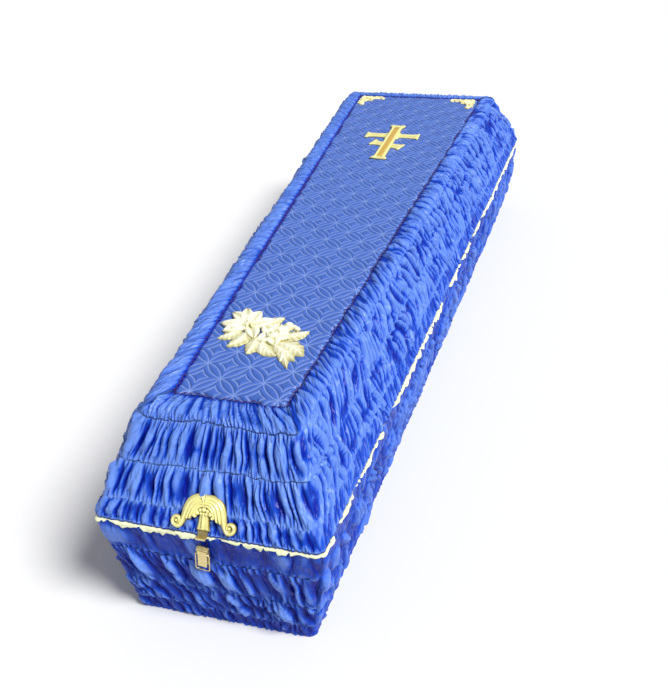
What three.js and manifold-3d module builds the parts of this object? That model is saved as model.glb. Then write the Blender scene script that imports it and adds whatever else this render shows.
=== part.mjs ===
// A four-sided coffin of boards, covered in ruched satin, with a lid that lifts off.
// Lengths are in millimetres. +Z is up, +Y runs from the foot to the head, and the origin is on
// the floor, in the middle of the coffin's length and width.
import * as THREE from 'three';
import { mergeVertices } from 'three/addons/utils/BufferGeometryUtils.js';
import Module from 'manifold-3d';

const wasm = await Module();
wasm.setup();

// The whole, over the cloth
const LENGTH = 2000;
const FOOT_RIM_WIDTH = 464;
const HEAD_RIM_WIDTH = 700;
const SIDE_LEAN_RUN = 40;
const HEAD_LEAN_RUN = 38;
const FOOT_LEAN_RUN = 0;
const BOX_HEIGHT = 246;
const LID_RISE = 167;
const SIDE_SLOPE_RUN = 81;
const FOOT_SLOPE_RUN = 128;
const HEAD_SLOPE_RUN = 70;

// The quilted panel's margins to the lid's shoulder
const SIDE_MARGIN = 43;
const FOOT_MARGIN = 54;
const HEAD_MARGIN = 33;

// Boards and gaps
const WALL = 18;
const FLOOR = 18;
const BOARD_CORNER = 6;
const GAP = 0.4;

// Satin covers: the height of the cloth over the boards
const PUFF = 12;
const VALLEY = 5;
const PINCH = 3;
const RIM_ROLL = 10;
const HEM_ROLL = 7;
const HEM_CLEARANCE = 0.6;
const LID_PLEAT_PITCH = 98;
const FOOT_PLEAT_PITCH = 60;
const BOX_PUFF_PITCH = 124;
const CORNER_STEPS = 2;

// Gather lines, as shares of the height of the box's side and of the lid's slope
const BOX_GATHERS = [0, 0.14, 0.38, 0.73, 1];
const LID_GATHERS = [0, 0.19, 0.56, 1];

// Quilting
const PANEL_SEAM_HEIGHT = 5;
const PANEL_PUFF_HEIGHT = 8;
const PANEL_CORNER = 10;
const QUILT_PITCH = 44.5;
const QUILT_NODE = new THREE.Vector2(-98, -92);

// The lining and the ragged edge of it in the seam
const LINING = 1.6;
const HIDDEN_REACH = 6;
const FLAP_REACH = 16;
const FLAP_DROOP = 13;
const FLAP_PITCH = 130;
const FOOT_FLAP_PITCH = 50;
const FITTING_HALF_WIDTH = 45;

// The cross
const CROSS_LENGTH = 270;
const CROSS_X = -6;
const CROSS_TO_HEAD = 569;
const CROSS_ARM_WIDTH = 30;
const CROSS_FLARE = 9;
const CROSS_BAR_LENGTH = 172;
const CROSS_BAR_HEIGHT = 188;
const CROSS_STEP_LENGTH = 104;
const CROSS_STEP_HEIGHT = 113;
const CROSS_STEP_TILT = -18;
const CROSS_PLATE = 46;
const CROSS_THICKNESS = 7;
const CROSS_BEVEL = 3;
const CROSS_STRIPE = 12;
const CROSS_GROOVE = 4;
const CROSS_GROOVE_DEPTH = 1.6;

// The flower spray
const SPRAY_LENGTH = 236;
const SPRAY_X = -6;
const SPRAY_TO_FOOT = 206;
const SPRAY_THICKNESS = 15;

// The corner ornaments
const CORNER_REACH = 88;
const CORNER_INSET = 14;
const CORNER_THICKNESS = 7;

// The scroll plate on the lid's foot slope
const SCROLL_WIDTH = 118;
const SCROLL_BASE = 14;
const SCROLL_THICKNESS = 8;

// The draw latch
const LATCH_TURN = 9;
const LATCH_X = -4;
const LATCH_TOP_DROP = 20;
const LATCH_PIN_OUT = 5;
const LATCH_PIN_DROP = 8;
const LATCH_PIN_RADIUS = 1.1;
const LATCH_FIT = 0.3;
const LATCH_SHEET = 1.6;
const LATCH_BASE_WIDTH = 23;
const LATCH_BASE_LENGTH = 46;
const LEVER_WIDTH = 18;
const LEVER_LENGTH = 34;
const LEVER_TAB = 9;
const LOOP_PIVOT_DROP = 8;
const LOOP_LENGTH = 45;
const LOOP_WIDTH = 27;
const WIRE_RADIUS = 1.3;
const KNUCKLE_WALL = 1.1;
const HOOK_WIDTH = 19;
const HOOK_THROAT = 3.2;

// Worked out from the sizes above
const LID_BASE = BOX_HEIGHT + LINING + 2 * GAP;
const LID_TOP = LID_BASE + LID_RISE;
const PANEL_TOP = LID_TOP + PANEL_PUFF_HEIGHT;
const SLOPE_RISE = PANEL_TOP - LID_BASE;
const FOOT_SLOPE = Math.atan2(SLOPE_RISE, FOOT_SLOPE_RUN);
const degrees = THREE.MathUtils.degToRad;

const SATIN = { color: 0x2f55d0, roughness: 0.45 };
const QUILTING = { color: 0x5f78cc, roughness: 0.6 };
const WOOD = { color: 0xc29a63, roughness: 0.7 };
const CREAM = { color: 0xe8ecc4, roughness: 0.8 };
const GOLD_PLASTIC = { color: 0xe8c95c, roughness: 0.35, metalness: 0.4 };
const PALE_GOLD = { color: 0xf1e9a6, roughness: 0.4, metalness: 0.2 };
const BRASS = { color: 0xd8be6c, roughness: 0.35, metalness: 0.9 };

// Plans: four-sided outlines given by their two ends

// A plan with every edge moved inwards, or outwards where the distance is negative.
function inset(plan, side, foot = side, head = side) {
  const taper = (plan.headHalf - plan.footHalf) / (plan.headY - plan.footY);
  return {
    footY: plan.footY + foot,
    headY: plan.headY - head,
    footHalf: plan.footHalf + taper * foot - side,
    headHalf: plan.headHalf - taper * head - side,
  };
}

function between(a, b, share) {
  const mixed = {};
  for (const key of Object.keys(a)) {
    mixed[key] = THREE.MathUtils.lerp(a[key], b[key], share);
  }
  return mixed;
}

// The plan's outline with rounded corners, as points with their outward directions.
// steps gives how many lengths the foot, right, head and left edges are cut into.
function outline(plan, radius, steps = [1, 1, 1, 1]) {
  const corners = [
    new THREE.Vector2(-plan.footHalf, plan.footY),
    new THREE.Vector2(plan.footHalf, plan.footY),
    new THREE.Vector2(plan.headHalf, plan.headY),
    new THREE.Vector2(-plan.headHalf, plan.headY),
  ];
  const normals = corners.map((corner, i) => {
    const edge = corners[(i + 1) % 4].clone().sub(corner).normalize();
    return new THREE.Vector2(edge.y, -edge.x);
  });
  const arcs = corners.map((corner, i) => {
    const before = normals[(i + 3) % 4];
    const after = normals[i];
    const reach = radius / (1 + before.dot(after));
    const centre = corner.clone().sub(before.clone().add(after).multiplyScalar(reach));
    const turn = Math.acos(before.dot(after));
    const arc = [];
    for (let k = 0; k <= CORNER_STEPS; k += 1) {
      const out = before.clone().rotateAround(new THREE.Vector2(), (turn * k) / CORNER_STEPS);
      arc.push({ at: centre.clone().addScaledVector(out, radius), out });
    }
    return arc;
  });
  const points = [];
  arcs.forEach((arc, i) => {
    points.push(...arc);
    const start = arc[arc.length - 1].at;
    const end = arcs[(i + 1) % 4][0].at;
    for (let k = 1; k < steps[i]; k += 1) {
      points.push({ at: start.clone().lerp(end, k / steps[i]), out: normals[i] });
    }
  });
  return points;
}

function ring(plan, z, radius, steps) {
  return outline(plan, radius, steps).map(({ at }) => new THREE.Vector3(at.x, at.y, z));
}

// Meshes

// A closed body through rings of equally many points. Its two ends are closed by fans, or by
// joining the last ring to the first where wraps is true.
function loft(rings, wraps = false) {
  const count = rings[0].length;
  const points = rings.flat();
  const faces = [];
  const last = wraps ? rings.length : rings.length - 1;
  for (let r = 0; r < last; r += 1) {
    const here = r * count;
    const next = ((r + 1) % rings.length) * count;
    for (let k = 0; k < count; k += 1) {
      const l = (k + 1) % count;
      faces.push(here + k, here + l, next + l, here + k, next + l, next + k);
    }
  }
  if (!wraps) {
    [0, rings.length - 1].forEach((r, end) => {
      const middle = new THREE.Vector3();
      rings[r].forEach((point) => middle.addScaledVector(point, 1 / count));
      points.push(middle);
      for (let k = 0; k < count; k += 1) {
        const a = r * count + k;
        const b = r * count + ((k + 1) % count);
        faces.push(points.length - 1, ...(end === 0 ? [b, a] : [a, b]));
      }
    });
  }
  return closedGeometry(points, faces);
}

// A geometry whose faces point out, whichever way they were listed.
function closedGeometry(points, faces) {
  let volume = 0;
  for (let k = 0; k < faces.length; k += 3) {
    const [a, b, c] = [points[faces[k]], points[faces[k + 1]], points[faces[k + 2]]];
    volume += a.dot(b.clone().cross(c));
  }
  const index = volume < 0 ? faces.slice().reverse() : faces;
  const geometry = new THREE.BufferGeometry().setFromPoints(points);
  geometry.setIndex(index);
  return geometry;
}

function toManifold(geometry) {
  const bare = new THREE.BufferGeometry();
  bare.setAttribute('position', geometry.getAttribute('position'));
  bare.setIndex(geometry.index);
  const merged = mergeVertices(bare, 1e-3);
  return new wasm.Manifold(new wasm.Mesh({
    numProp: 3,
    vertProperties: new Float32Array(merged.getAttribute('position').array),
    triVerts: new Uint32Array(merged.index.array),
  }));
}

function fromManifold(solid) {
  const mesh = solid.getMesh();
  const geometry = new THREE.BufferGeometry();
  geometry.setAttribute('position', new THREE.BufferAttribute(mesh.vertProperties, 3));
  geometry.setIndex(new THREE.BufferAttribute(mesh.triVerts, 1));
  return geometry;
}

function joined(geometries) {
  return fromManifold(geometries.map(toManifold).reduce((whole, next) => whole.add(next)));
}

function without(geometry, cutters) {
  const cut = cutters.map(toManifold).reduce((rest, next) => rest.subtract(next), toManifold(geometry));
  return fromManifold(cut);
}

function piece(name, geometry, look) {
  const mesh = new THREE.Mesh(geometry, new THREE.MeshStandardMaterial(look));
  mesh.name = name;
  return mesh;
}

// Plans of the coffin

const rimPlan = {
  footY: -LENGTH / 2,
  headY: LENGTH / 2,
  footHalf: FOOT_RIM_WIDTH / 2,
  headHalf: HEAD_RIM_WIDTH / 2,
};
const basePlan = inset(rimPlan, SIDE_LEAN_RUN, FOOT_LEAN_RUN, HEAD_LEAN_RUN);
const shoulderPlan = inset(rimPlan, SIDE_SLOPE_RUN, FOOT_SLOPE_RUN, HEAD_SLOPE_RUN);
const panelPlan = inset(shoulderPlan, SIDE_MARGIN, FOOT_MARGIN, HEAD_MARGIN);
const boxRim = inset(rimPlan, PUFF);
const boxBase = inset(basePlan, PUFF);
const boxInnerRim = inset(boxRim, WALL);
const boxInnerBase = inset(between(boxBase, boxRim, FLOOR / BOX_HEIGHT), WALL);
const lidRim = inset(rimPlan, PUFF);
const lidShoulder = inset(between(rimPlan, shoulderPlan, LID_RISE / SLOPE_RISE), PUFF);

// The wooden box and the wooden lid

function boxBoards() {
  return loft([
    ring(boxBase, 0, BOARD_CORNER),
    ring(boxRim, BOX_HEIGHT, BOARD_CORNER),
    ring(boxInnerRim, BOX_HEIGHT, BOARD_CORNER),
    ring(boxInnerBase, FLOOR, BOARD_CORNER),
  ]);
}

function lidBoards() {
  const innerTop = inset(between(lidRim, lidShoulder, 1 - WALL / LID_RISE), WALL);
  return loft([
    ring(lidShoulder, LID_TOP, BOARD_CORNER),
    ring(lidRim, LID_BASE, BOARD_CORNER),
    ring(inset(lidRim, WALL), LID_BASE, BOARD_CORNER),
    ring(innerTop, LID_TOP - WALL, BOARD_CORNER),
  ]);
}

// Ruched covers

function evenSteps(length, pitch) {
  return 2 * Math.max(2, Math.round(length / pitch));
}

// Steps along the foot, right, head and left edges, a ridge and a valley to each pitch.
// The corners' own points come to an even count, and one step more keeps the whole even.
function coverSteps(footPitch, sidePitch) {
  const side = evenSteps(LENGTH, sidePitch) + 1;
  return [evenSteps(FOOT_RIM_WIDTH, footPitch) + 1, side, evenSteps(HEAD_RIM_WIDTH, sidePitch) + 1, side];
}

// How high the cloth stands over the boards at a column: ridges and valleys change places from
// band to band, and each ridge differs a little from its neighbours.
function puffHeight(column, band) {
  const ridge = (column + band) % 2 === 0;
  const uneven = 0.5 + 0.5 * Math.sin(1.7 * column + 2.3 * band);
  return ridge ? PUFF - uneven : VALLEY + uneven;
}

// The rings of a cover's outer face from its gather lines. shape(share, height) gives a ring, and
// the cloth is rolled over its first and last edges to the heights given.
function gatheredRings(gathers, firstRoll, lastRoll, shape) {
  const rings = [];
  gathers.forEach((gather, i) => {
    const isLast = i + 1 === gathers.length;
    const roll = i === 0 ? firstRoll : lastRoll;
    rings.push(shape(gather, () => (i === 0 || isLast ? roll : PINCH)));
    if (!isLast) {
      const middle = (gather + gathers[i + 1]) / 2;
      rings.push(shape(middle, (column) => puffHeight(column, i)));
    }
  });
  return rings;
}

// A ring of points over a sloping face between two plans. Each stands out from the face, and
// height(column) is how far it moves the face's outline outwards.
function slopeRing(low, high, zLow, zHigh, radius, steps, share, height) {
  const foot = outline(low, radius, steps);
  const head = outline(high, radius, steps);
  return foot.map((start, column) => {
    const from = new THREE.Vector3(start.at.x, start.at.y, zLow);
    const to = new THREE.Vector3(head[column].at.x, head[column].at.y, zHigh);
    const out = new THREE.Vector3(start.out.x, start.out.y, 0);
    const along = to.clone().sub(from);
    const normal = out.clone().multiplyScalar(along.z);
    normal.z = -along.dot(out);
    normal.normalize();
    return from.lerp(to, share).addScaledVector(normal, height(column) * normal.dot(out));
  });
}

function boxCover() {
  const steps = coverSteps(FOOT_PLEAT_PITCH, BOX_PUFF_PITCH);
  const backed = (plan) => inset(plan, -GAP);
  const outer = gatheredRings(BOX_GATHERS, HEM_ROLL, RIM_ROLL, (share, height) => slopeRing(
    boxBase, boxRim, HEM_CLEARANCE, BOX_HEIGHT, BOARD_CORNER, steps, share, height));
  for (const [edge, z] of [[outer[0], HEM_CLEARANCE], [outer[outer.length - 1], BOX_HEIGHT]]) {
    edge.forEach((point) => point.setZ(z));
  }
  return loft([
    ...outer,
    ring(backed(boxRim), BOX_HEIGHT, BOARD_CORNER + GAP, steps),
    ring(backed(boxBase), HEM_CLEARANCE, BOARD_CORNER + GAP, steps),
  ], true);
}

function lidCover() {
  const steps = coverSteps(FOOT_PLEAT_PITCH, LID_PLEAT_PITCH);
  const backed = (plan) => inset(plan, -GAP);
  const slope = gatheredRings(LID_GATHERS, RIM_ROLL, PINCH, (share, height) => slopeRing(
    lidRim, lidShoulder, LID_BASE, LID_TOP, BOARD_CORNER, steps, share, height));
  slope[0].forEach((point) => point.setZ(LID_BASE));
  const panelEdge = ring(backed(panelPlan), LID_TOP + PANEL_SEAM_HEIGHT, PANEL_CORNER + GAP, steps);
  const roll = ring(between(lidShoulder, panelPlan, 0.5), 0, BOARD_CORNER + PANEL_CORNER, steps);
  roll.forEach((point, column) => point.setZ(LID_TOP + puffHeight(column, LID_GATHERS.length - 1)));
  return loft([
    ...slope,
    roll,
    panelEdge,
    ring(backed(panelPlan), LID_TOP + GAP, PANEL_CORNER + GAP, steps),
    ring(backed(lidShoulder), LID_TOP + GAP, BOARD_CORNER + GAP, steps),
    ring(backed(lidRim), LID_BASE, BOARD_CORNER + GAP, steps),
  ], true);
}

// The quilted panel: seams run on the diagonals of a square lattice, with a puff between them

function quiltedPanel() {
  const reach = panelPlan.headHalf + QUILT_PITCH;
  const firstColumn = Math.floor((-reach - QUILT_NODE.x) / QUILT_PITCH);
  const lastColumn = Math.ceil((reach - QUILT_NODE.x) / QUILT_PITCH);
  const firstRow = Math.floor((panelPlan.footY - QUILT_NODE.y) / QUILT_PITCH) - 1;
  const lastRow = Math.ceil((panelPlan.headY - QUILT_NODE.y) / QUILT_PITCH) + 1;
  const columns = lastColumn - firstColumn + 1;
  const rows = lastRow - firstRow + 1;
  const isSeam = (i, j) => (i + j + firstColumn + firstRow) % 2 === 0;
  const points = [];
  for (let j = 0; j < rows; j += 1) {
    for (let i = 0; i < columns; i += 1) {
      const rise = isSeam(i, j) ? PANEL_SEAM_HEIGHT : PANEL_PUFF_HEIGHT;
      const x = QUILT_NODE.x + (firstColumn + i) * QUILT_PITCH;
      const y = QUILT_NODE.y + (firstRow + j) * QUILT_PITCH;
      points.push(new THREE.Vector3(x, y, LID_TOP + rise));
    }
  }
  const faces = [];
  for (let j = 0; j + 1 < rows; j += 1) {
    for (let i = 0; i + 1 < columns; i += 1) {
      const [a, b] = [j * columns + i, j * columns + i + 1];
      const [c, d] = [b + columns, a + columns];
      faces.push(...(isSeam(i, j) ? [a, b, c, a, c, d] : [a, b, d, b, c, d]));
    }
  }
  // The slab's underside is well below the panel, so that the panel's own underside is flat.
  const rim = [];
  for (let i = 0; i < columns; i += 1) rim.push(i);
  for (let j = 1; j < rows; j += 1) rim.push(j * columns + columns - 1);
  for (let i = columns - 2; i >= 0; i -= 1) rim.push((rows - 1) * columns + i);
  for (let j = rows - 2; j > 0; j -= 1) rim.push(j * columns);
  const under = points.length;
  rim.forEach((k) => points.push(points[k].clone().setZ(LID_BASE)));
  points.push(new THREE.Vector3(0, 0, LID_BASE));
  rim.forEach((k, n) => {
    const l = (n + 1) % rim.length;
    faces.push(k, under + n, under + l, k, under + l, rim[l]);
    faces.push(under + rim.length, under + l, under + n);
  });
  const blank = loft([
    ring(panelPlan, LID_TOP + GAP, PANEL_CORNER),
    ring(panelPlan, PANEL_TOP + PUFF, PANEL_CORNER),
  ]);
  return fromManifold(toManifold(closedGeometry(points, faces)).intersect(toManifold(blank)));
}

// The lining: down the inside walls, over the floor, and out over the rim into the seam

function lining() {
  const side = Math.round(LENGTH / FLAP_PITCH);
  const foot = Math.round(FOOT_RIM_WIDTH / FOOT_FLAP_PITCH);
  const steps = [foot, side, Math.round(HEAD_RIM_WIDTH / FLAP_PITCH), side];
  const rim = outline(boxRim, BOARD_CORNER, steps);
  // How far off the fittings a place on the foot's edge is, from 0 beside them.
  const clearOfFittings = ({ at, out }) => {
    const beside = (Math.abs(at.x) - FITTING_HALF_WIDTH) / FOOT_FLAP_PITCH;
    return out.y < -0.9 ? beside : 1;
  };
  const flap = (offset, drop, hangs) => rim.map((place, column) => {
    const clear = clearOfFittings(place);
    const wave = Math.sin(0.9 * column) + Math.sin(2.1 * column + 1);
    const hang = hangs && clear >= 1 ? FLAP_DROOP * Math.max(0, 0.4 + 0.3 * wave) : 0;
    const reach = (clear > 0 ? FLAP_REACH : HIDDEN_REACH) - offset;
    const z = BOX_HEIGHT + GAP + LINING - drop - hang;
    return new THREE.Vector3(place.at.x + place.out.x * reach, place.at.y + place.out.y * reach, z);
  });
  const skin = GAP + LINING;
  return loft([
    ring(inset(boxInnerBase, skin), FLOOR + skin, BOARD_CORNER, steps),
    ring(inset(boxInnerRim, skin), BOX_HEIGHT + skin, BOARD_CORNER, steps),
    flap(2, 0, false),
    flap(0, LINING / 4, true),
    flap(LINING, LINING / 2, true),
    flap(2 + LINING / 2, LINING, false),
    ring(inset(boxInnerRim, GAP), BOX_HEIGHT + GAP, BOARD_CORNER, steps),
    ring(inset(boxInnerBase, GAP), FLOOR + GAP, BOARD_CORNER, steps),
  ]);
}

// Relief forms for the cast ornaments, flat at the back, with a ridge along the middle

// A strap along a path, with its half width and its ridge's height at each share of its length.
function strap(path, stations, halfWidth, ridge) {
  const points = [];
  const faces = [];
  for (let k = 1; k < stations; k += 1) {
    const share = k / stations;
    const at = path.getPointAt(share);
    const along = path.getTangentAt(share);
    const across = new THREE.Vector2(along.y, -along.x).multiplyScalar(halfWidth(share));
    points.push(new THREE.Vector3(at.x - across.x, at.y - across.y, 0));
    points.push(new THREE.Vector3(at.x, at.y, ridge(share)));
    points.push(new THREE.Vector3(at.x + across.x, at.y + across.y, 0));
  }
  const last = points.length - 3;
  for (let k = 0; k < last; k += 3) {
    for (const [a, b] of [[k, k + 1], [k + 1, k + 2], [k + 2, k]]) {
      faces.push(a, b, b + 3, a, b + 3, a + 3);
    }
  }
  const [start, end] = [path.getPointAt(0), path.getPointAt(1)];
  points.push(new THREE.Vector3(start.x, start.y, 0), new THREE.Vector3(end.x, end.y, 0));
  const [tail, tip] = [points.length - 2, points.length - 1];
  for (const [a, b] of [[0, 1], [1, 2], [2, 0]]) {
    faces.push(tail, b, a, tip, last + a, last + b);
  }
  return closedGeometry(points, faces);
}

// A leaf from one place to another, widest a third of the way along, bent aside by its bow.
function leaf(fromX, fromY, toX, toY, width, thickness, bow = 0, stations = 4) {
  const start = new THREE.Vector2(fromX, fromY);
  const end = new THREE.Vector2(toX, toY);
  const middle = start.clone().lerp(end, 0.5);
  const across = end.clone().sub(start).normalize();
  middle.add(new THREE.Vector2(-across.y, across.x).multiplyScalar(bow));
  const path = new THREE.QuadraticBezierCurve(start, middle, end);
  const swell = (share) => Math.sin(Math.PI * share ** 0.75);
  return strap(path, stations, (share) => (swell(share) * width) / 2, (share) => swell(share) * thickness);
}

// A low dome, as wide at its back as its radius.
function knob(x, y, radius, thickness, sides = 7) {
  const profile = [[1, 0], [0.6, 1]];
  return loft(profile.map(([share, height]) => {
    const circle = [];
    for (let k = 0; k < sides; k += 1) {
      const turn = (2 * Math.PI * k) / sides;
      const reach = radius * share;
      circle.push(new THREE.Vector3(x + reach * Math.cos(turn), y + reach * Math.sin(turn), height * thickness));
    }
    return circle;
  }));
}

function mirrored(geometry) {
  const copy = geometry.clone().scale(-1, 1, 1);
  copy.setIndex(Array.from(copy.index.array).reverse());
  return copy;
}

// The cross: three bars with flared ends on one flat back, the lowest one slanting

function barShape(length, width, flare) {
  const [end, half, wide] = [length / 2, width / 2, width / 2 + flare / 2];
  const quarter = [[end - 2 * flare, half], [end - flare, wide], [end - flare / 2, wide], [end, half - flare / 2]];
  const outlineOf = [];
  for (const [sx, sy] of [[1, 1], [-1, 1], [-1, -1], [1, -1]]) {
    const turned = sx * sy > 0 ? quarter.slice().reverse() : quarter;
    turned.forEach(([x, y]) => outlineOf.push(new THREE.Vector2(sx * x, sy * y)));
  }
  return new THREE.Shape(outlineOf);
}

function bevelled(shape, thickness, bevel) {
  return new THREE.ExtrudeGeometry(shape, {
    depth: thickness - bevel,
    bevelThickness: bevel,
    bevelSize: bevel,
    bevelOffset: -bevel,
    bevelSegments: 1,
  });
}

// A bar that only its front is bevelled on: what the bevel adds behind the back is cut away.
function crossBar(length, width, flare, turn, x, y) {
  const bar = bevelled(barShape(length, width, flare), CROSS_THICKNESS, CROSS_BEVEL);
  return bar.rotateZ(turn).translate(x, y, 0);
}

function cross() {
  const upright = crossBar(CROSS_LENGTH, CROSS_ARM_WIDTH, CROSS_FLARE, Math.PI / 2, 0, CROSS_LENGTH / 2);
  const arms = crossBar(CROSS_BAR_LENGTH, CROSS_ARM_WIDTH, CROSS_FLARE, 0, 0, CROSS_BAR_HEIGHT);
  const step = crossBar(
    CROSS_STEP_LENGTH, CROSS_ARM_WIDTH, CROSS_FLARE, degrees(CROSS_STEP_TILT), 0, CROSS_STEP_HEIGHT);
  const plate = new THREE.BoxGeometry(CROSS_PLATE, CROSS_PLATE, CROSS_THICKNESS);
  plate.translate(0, CROSS_BAR_HEIGHT, CROSS_THICKNESS / 2 - CROSS_GROOVE_DEPTH / 2);
  const groove = (length, width, turn, y) => {
    const cutter = new THREE.BoxGeometry(length, width, 2 * CROSS_GROOVE_DEPTH);
    return cutter.rotateZ(turn).translate(0, y, CROSS_THICKNESS);
  };
  const stripeLength = CROSS_LENGTH - 4 * CROSS_FLARE;
  const behind = new THREE.BoxGeometry(2 * CROSS_LENGTH, 2 * CROSS_LENGTH, CROSS_LENGTH);
  behind.translate(0, CROSS_LENGTH / 2, -CROSS_LENGTH / 2);
  const body = joined([upright, arms, step, plate]);
  return without(body, [
    behind,
    groove(CROSS_STRIPE, stripeLength, 0, CROSS_LENGTH / 2),
    groove(CROSS_BAR_LENGTH - 5 * CROSS_FLARE, CROSS_GROOVE, 0, CROSS_BAR_HEIGHT),
    groove(CROSS_STEP_LENGTH - 4 * CROSS_FLARE, CROSS_GROOVE, degrees(CROSS_STEP_TILT), CROSS_STEP_HEIGHT),
  ]);
}

// The flower spray, drawn in hundredths of its length from its middle: each leaf or petal as
// the place that it springs from, the place of its tip, its width and how far it bows aside
const SPRAY_LILY = [-19, 13];
const SPRAY_PETALS = [[-31, 39], [-42, 30], [-46, 12], [-39, 0], [-16, 36], [2, 25], [-8, -5]];
const SPRAY_ROSE = [8, 2];
const SPRAY_ROSE_PETALS = [[-6, 16], [8, 20], [19, 15], [24, 2], [14, -12], [-4, -8]];
const SPRAY_LEAVES = [
  [-17, 5, -27, -20, 13, 3],
  [-6, -2, -4, -29, 13, 2],
  [2, -6, 6, -25, 8, -1],
  [16, 2, 37, 14, 12, -2],
  [14, -8, 43, -21, 17, 3],
  [14, -10, 38, -29, 9, 0],
  [10, -8, 37, -40, 7, 3],
  [22, -18, 26, -32, 7, 2],
  [2, -12, 20, -27, 8, -6],
];

function flowerSpray() {
  const unit = SPRAY_LENGTH / 100;
  const thick = (share) => SPRAY_THICKNESS * share;
  const forms = SPRAY_LEAVES.map(([x, y, tipX, tipY, width, bow]) => leaf(
    x * unit, y * unit, tipX * unit, tipY * unit, width * unit, thick(0.6), bow * unit));
  for (const [centre, tips, width] of [[SPRAY_LILY, SPRAY_PETALS, 13], [SPRAY_ROSE, SPRAY_ROSE_PETALS, 12]]) {
    for (const [x, y] of tips) {
      forms.push(leaf(centre[0] * unit, centre[1] * unit, x * unit, y * unit, width * unit, thick(0.75)));
    }
  }
  forms.push(knob(SPRAY_LILY[0] * unit, SPRAY_LILY[1] * unit, 4 * unit, thick(0.9)));
  forms.push(knob(SPRAY_ROSE[0] * unit, SPRAY_ROSE[1] * unit, 8 * unit, thick(1)));
  return joined(forms);
}

// A corner ornament for the head's right corner, its outer corner at the origin

function cornerOrnament() {
  const unit = CORNER_REACH / 10;
  const lobe = (x, y, radius) => knob(-x * unit, -y * unit, radius * unit, CORNER_THICKNESS * 0.8);
  const scroll = (x, y, toX, toY, width, bow) => leaf(
    -x * unit, -y * unit, -toX * unit, -toY * unit, width * unit, CORNER_THICKNESS, bow * unit);
  return joined([
    scroll(0.4, 1.4, 9.8, 1.6, 2.6, 0.8),
    scroll(1.4, 0.4, 1.8, 10.6, 2.6, -0.8),
    scroll(0.6, 0.6, 5.2, 5, 3.4, 0),
    lobe(1.3, 1.3, 1.3),
    lobe(8.9, 2, 1.1),
    lobe(2.1, 9.4, 1.2),
    lobe(5.2, 2.7, 0.9),
    lobe(2.7, 5.4, 0.9),
  ]);
}

// The scroll plate: a palmette, two arms that end in volutes, a tongue and five beads.
// It is drawn in hundredths of its width, from the middle of the tongue's foot.

// A path out along an arm and round its volute, one turn and a third.
function armPath(unit) {
  const eye = new THREE.Vector2(41, 12);
  const spiral = [];
  for (let k = 0; k <= 8; k += 1) {
    const turn = degrees(-110 + 60 * k);
    const radius = 8.5 - 0.72 * k;
    spiral.push(new THREE.Vector2(eye.x + radius * Math.cos(turn), eye.y + radius * Math.sin(turn)));
  }
  const arm = [[1, 47], [12, 46], [22, 36], [26, 20], [31, 8]].map(([x, y]) => new THREE.Vector2(x, y));
  return new THREE.SplineCurve([...arm, ...spiral].map((point) => point.multiplyScalar(unit)));
}

function scrollPlate() {
  const unit = SCROLL_WIDTH / 100;
  const arm = strap(
    armPath(unit), 22,
    (share) => unit * (share < 0.5 ? 2.5 + 5 * Math.sin(2 * Math.PI * share) : 3.4 - 2.2 * share),
    (share) => SCROLL_THICKNESS * (share < 0.5 ? 0.9 : 1.1 - 0.6 * share));
  const tapering = (x, y, toX, toY, width, bow) => leaf(
    x * unit, y * unit, toX * unit, toY * unit, width * unit, SCROLL_THICKNESS, bow * unit);
  const halves = [
    arm,
    tapering(1, 44, 19, 10, 8, 9),
    tapering(0, 47, 13, 30, 6, 6),
    tapering(0, 42, 13, 48, 8, 2),
    knob(5.4 * unit, 31.5 * unit, 3.2 * unit, SCROLL_THICKNESS),
    knob(10.6 * unit, 25.5 * unit, 4 * unit, SCROLL_THICKNESS),
  ];
  const tongue = new THREE.LineCurve(new THREE.Vector2(0, 36 * unit), new THREE.Vector2(0, 0));
  return joined([
    ...halves,
    ...halves.map(mirrored),
    tapering(0, 38, 0, 55, 9, 0),
    knob(0, 33.5 * unit, 3.4 * unit, SCROLL_THICKNESS),
    strap(tongue, 8, (share) => unit * (6 + 6 * share ** 2), () => SCROLL_THICKNESS * 0.7),
  ]);
}

// The draw latch and its hook: sheet profiles, drawn as distance out from the cloth and height,
// and run across the latch's width

function acrossLatch(profile, width, holes = []) {
  const shape = new THREE.Shape(profile.map(([out, height]) => new THREE.Vector2(out, height)));
  for (const [out, height, radius] of holes) {
    const hole = new THREE.Path();
    hole.absarc(out, height, radius, 0, 2 * Math.PI, true);
    shape.holes.push(hole);
  }
  const run = new THREE.ExtrudeGeometry(shape, { depth: width, bevelEnabled: false, curveSegments: 10 });
  // The profile's own x becomes the way out of the face, and its run goes across the latch.
  run.translate(0, 0, -width / 2).rotateY(-Math.PI / 2);
  return run;
}

// Points on an arc about a place, from one angle to another in degrees.
function arcPoints(out, height, radius, fromDegrees, toDegrees, count = 6) {
  const points = [];
  for (let k = 0; k <= count; k += 1) {
    const turn = degrees(THREE.MathUtils.lerp(fromDegrees, toDegrees, k / count));
    points.push([out + radius * Math.cos(turn), height + radius * Math.sin(turn)]);
  }
  return points;
}

const knuckleRadius = WIRE_RADIUS + LATCH_FIT + KNUCKLE_WALL;
const earThickness = (LATCH_BASE_WIDTH - LEVER_WIDTH) / 2 - GAP;

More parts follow.
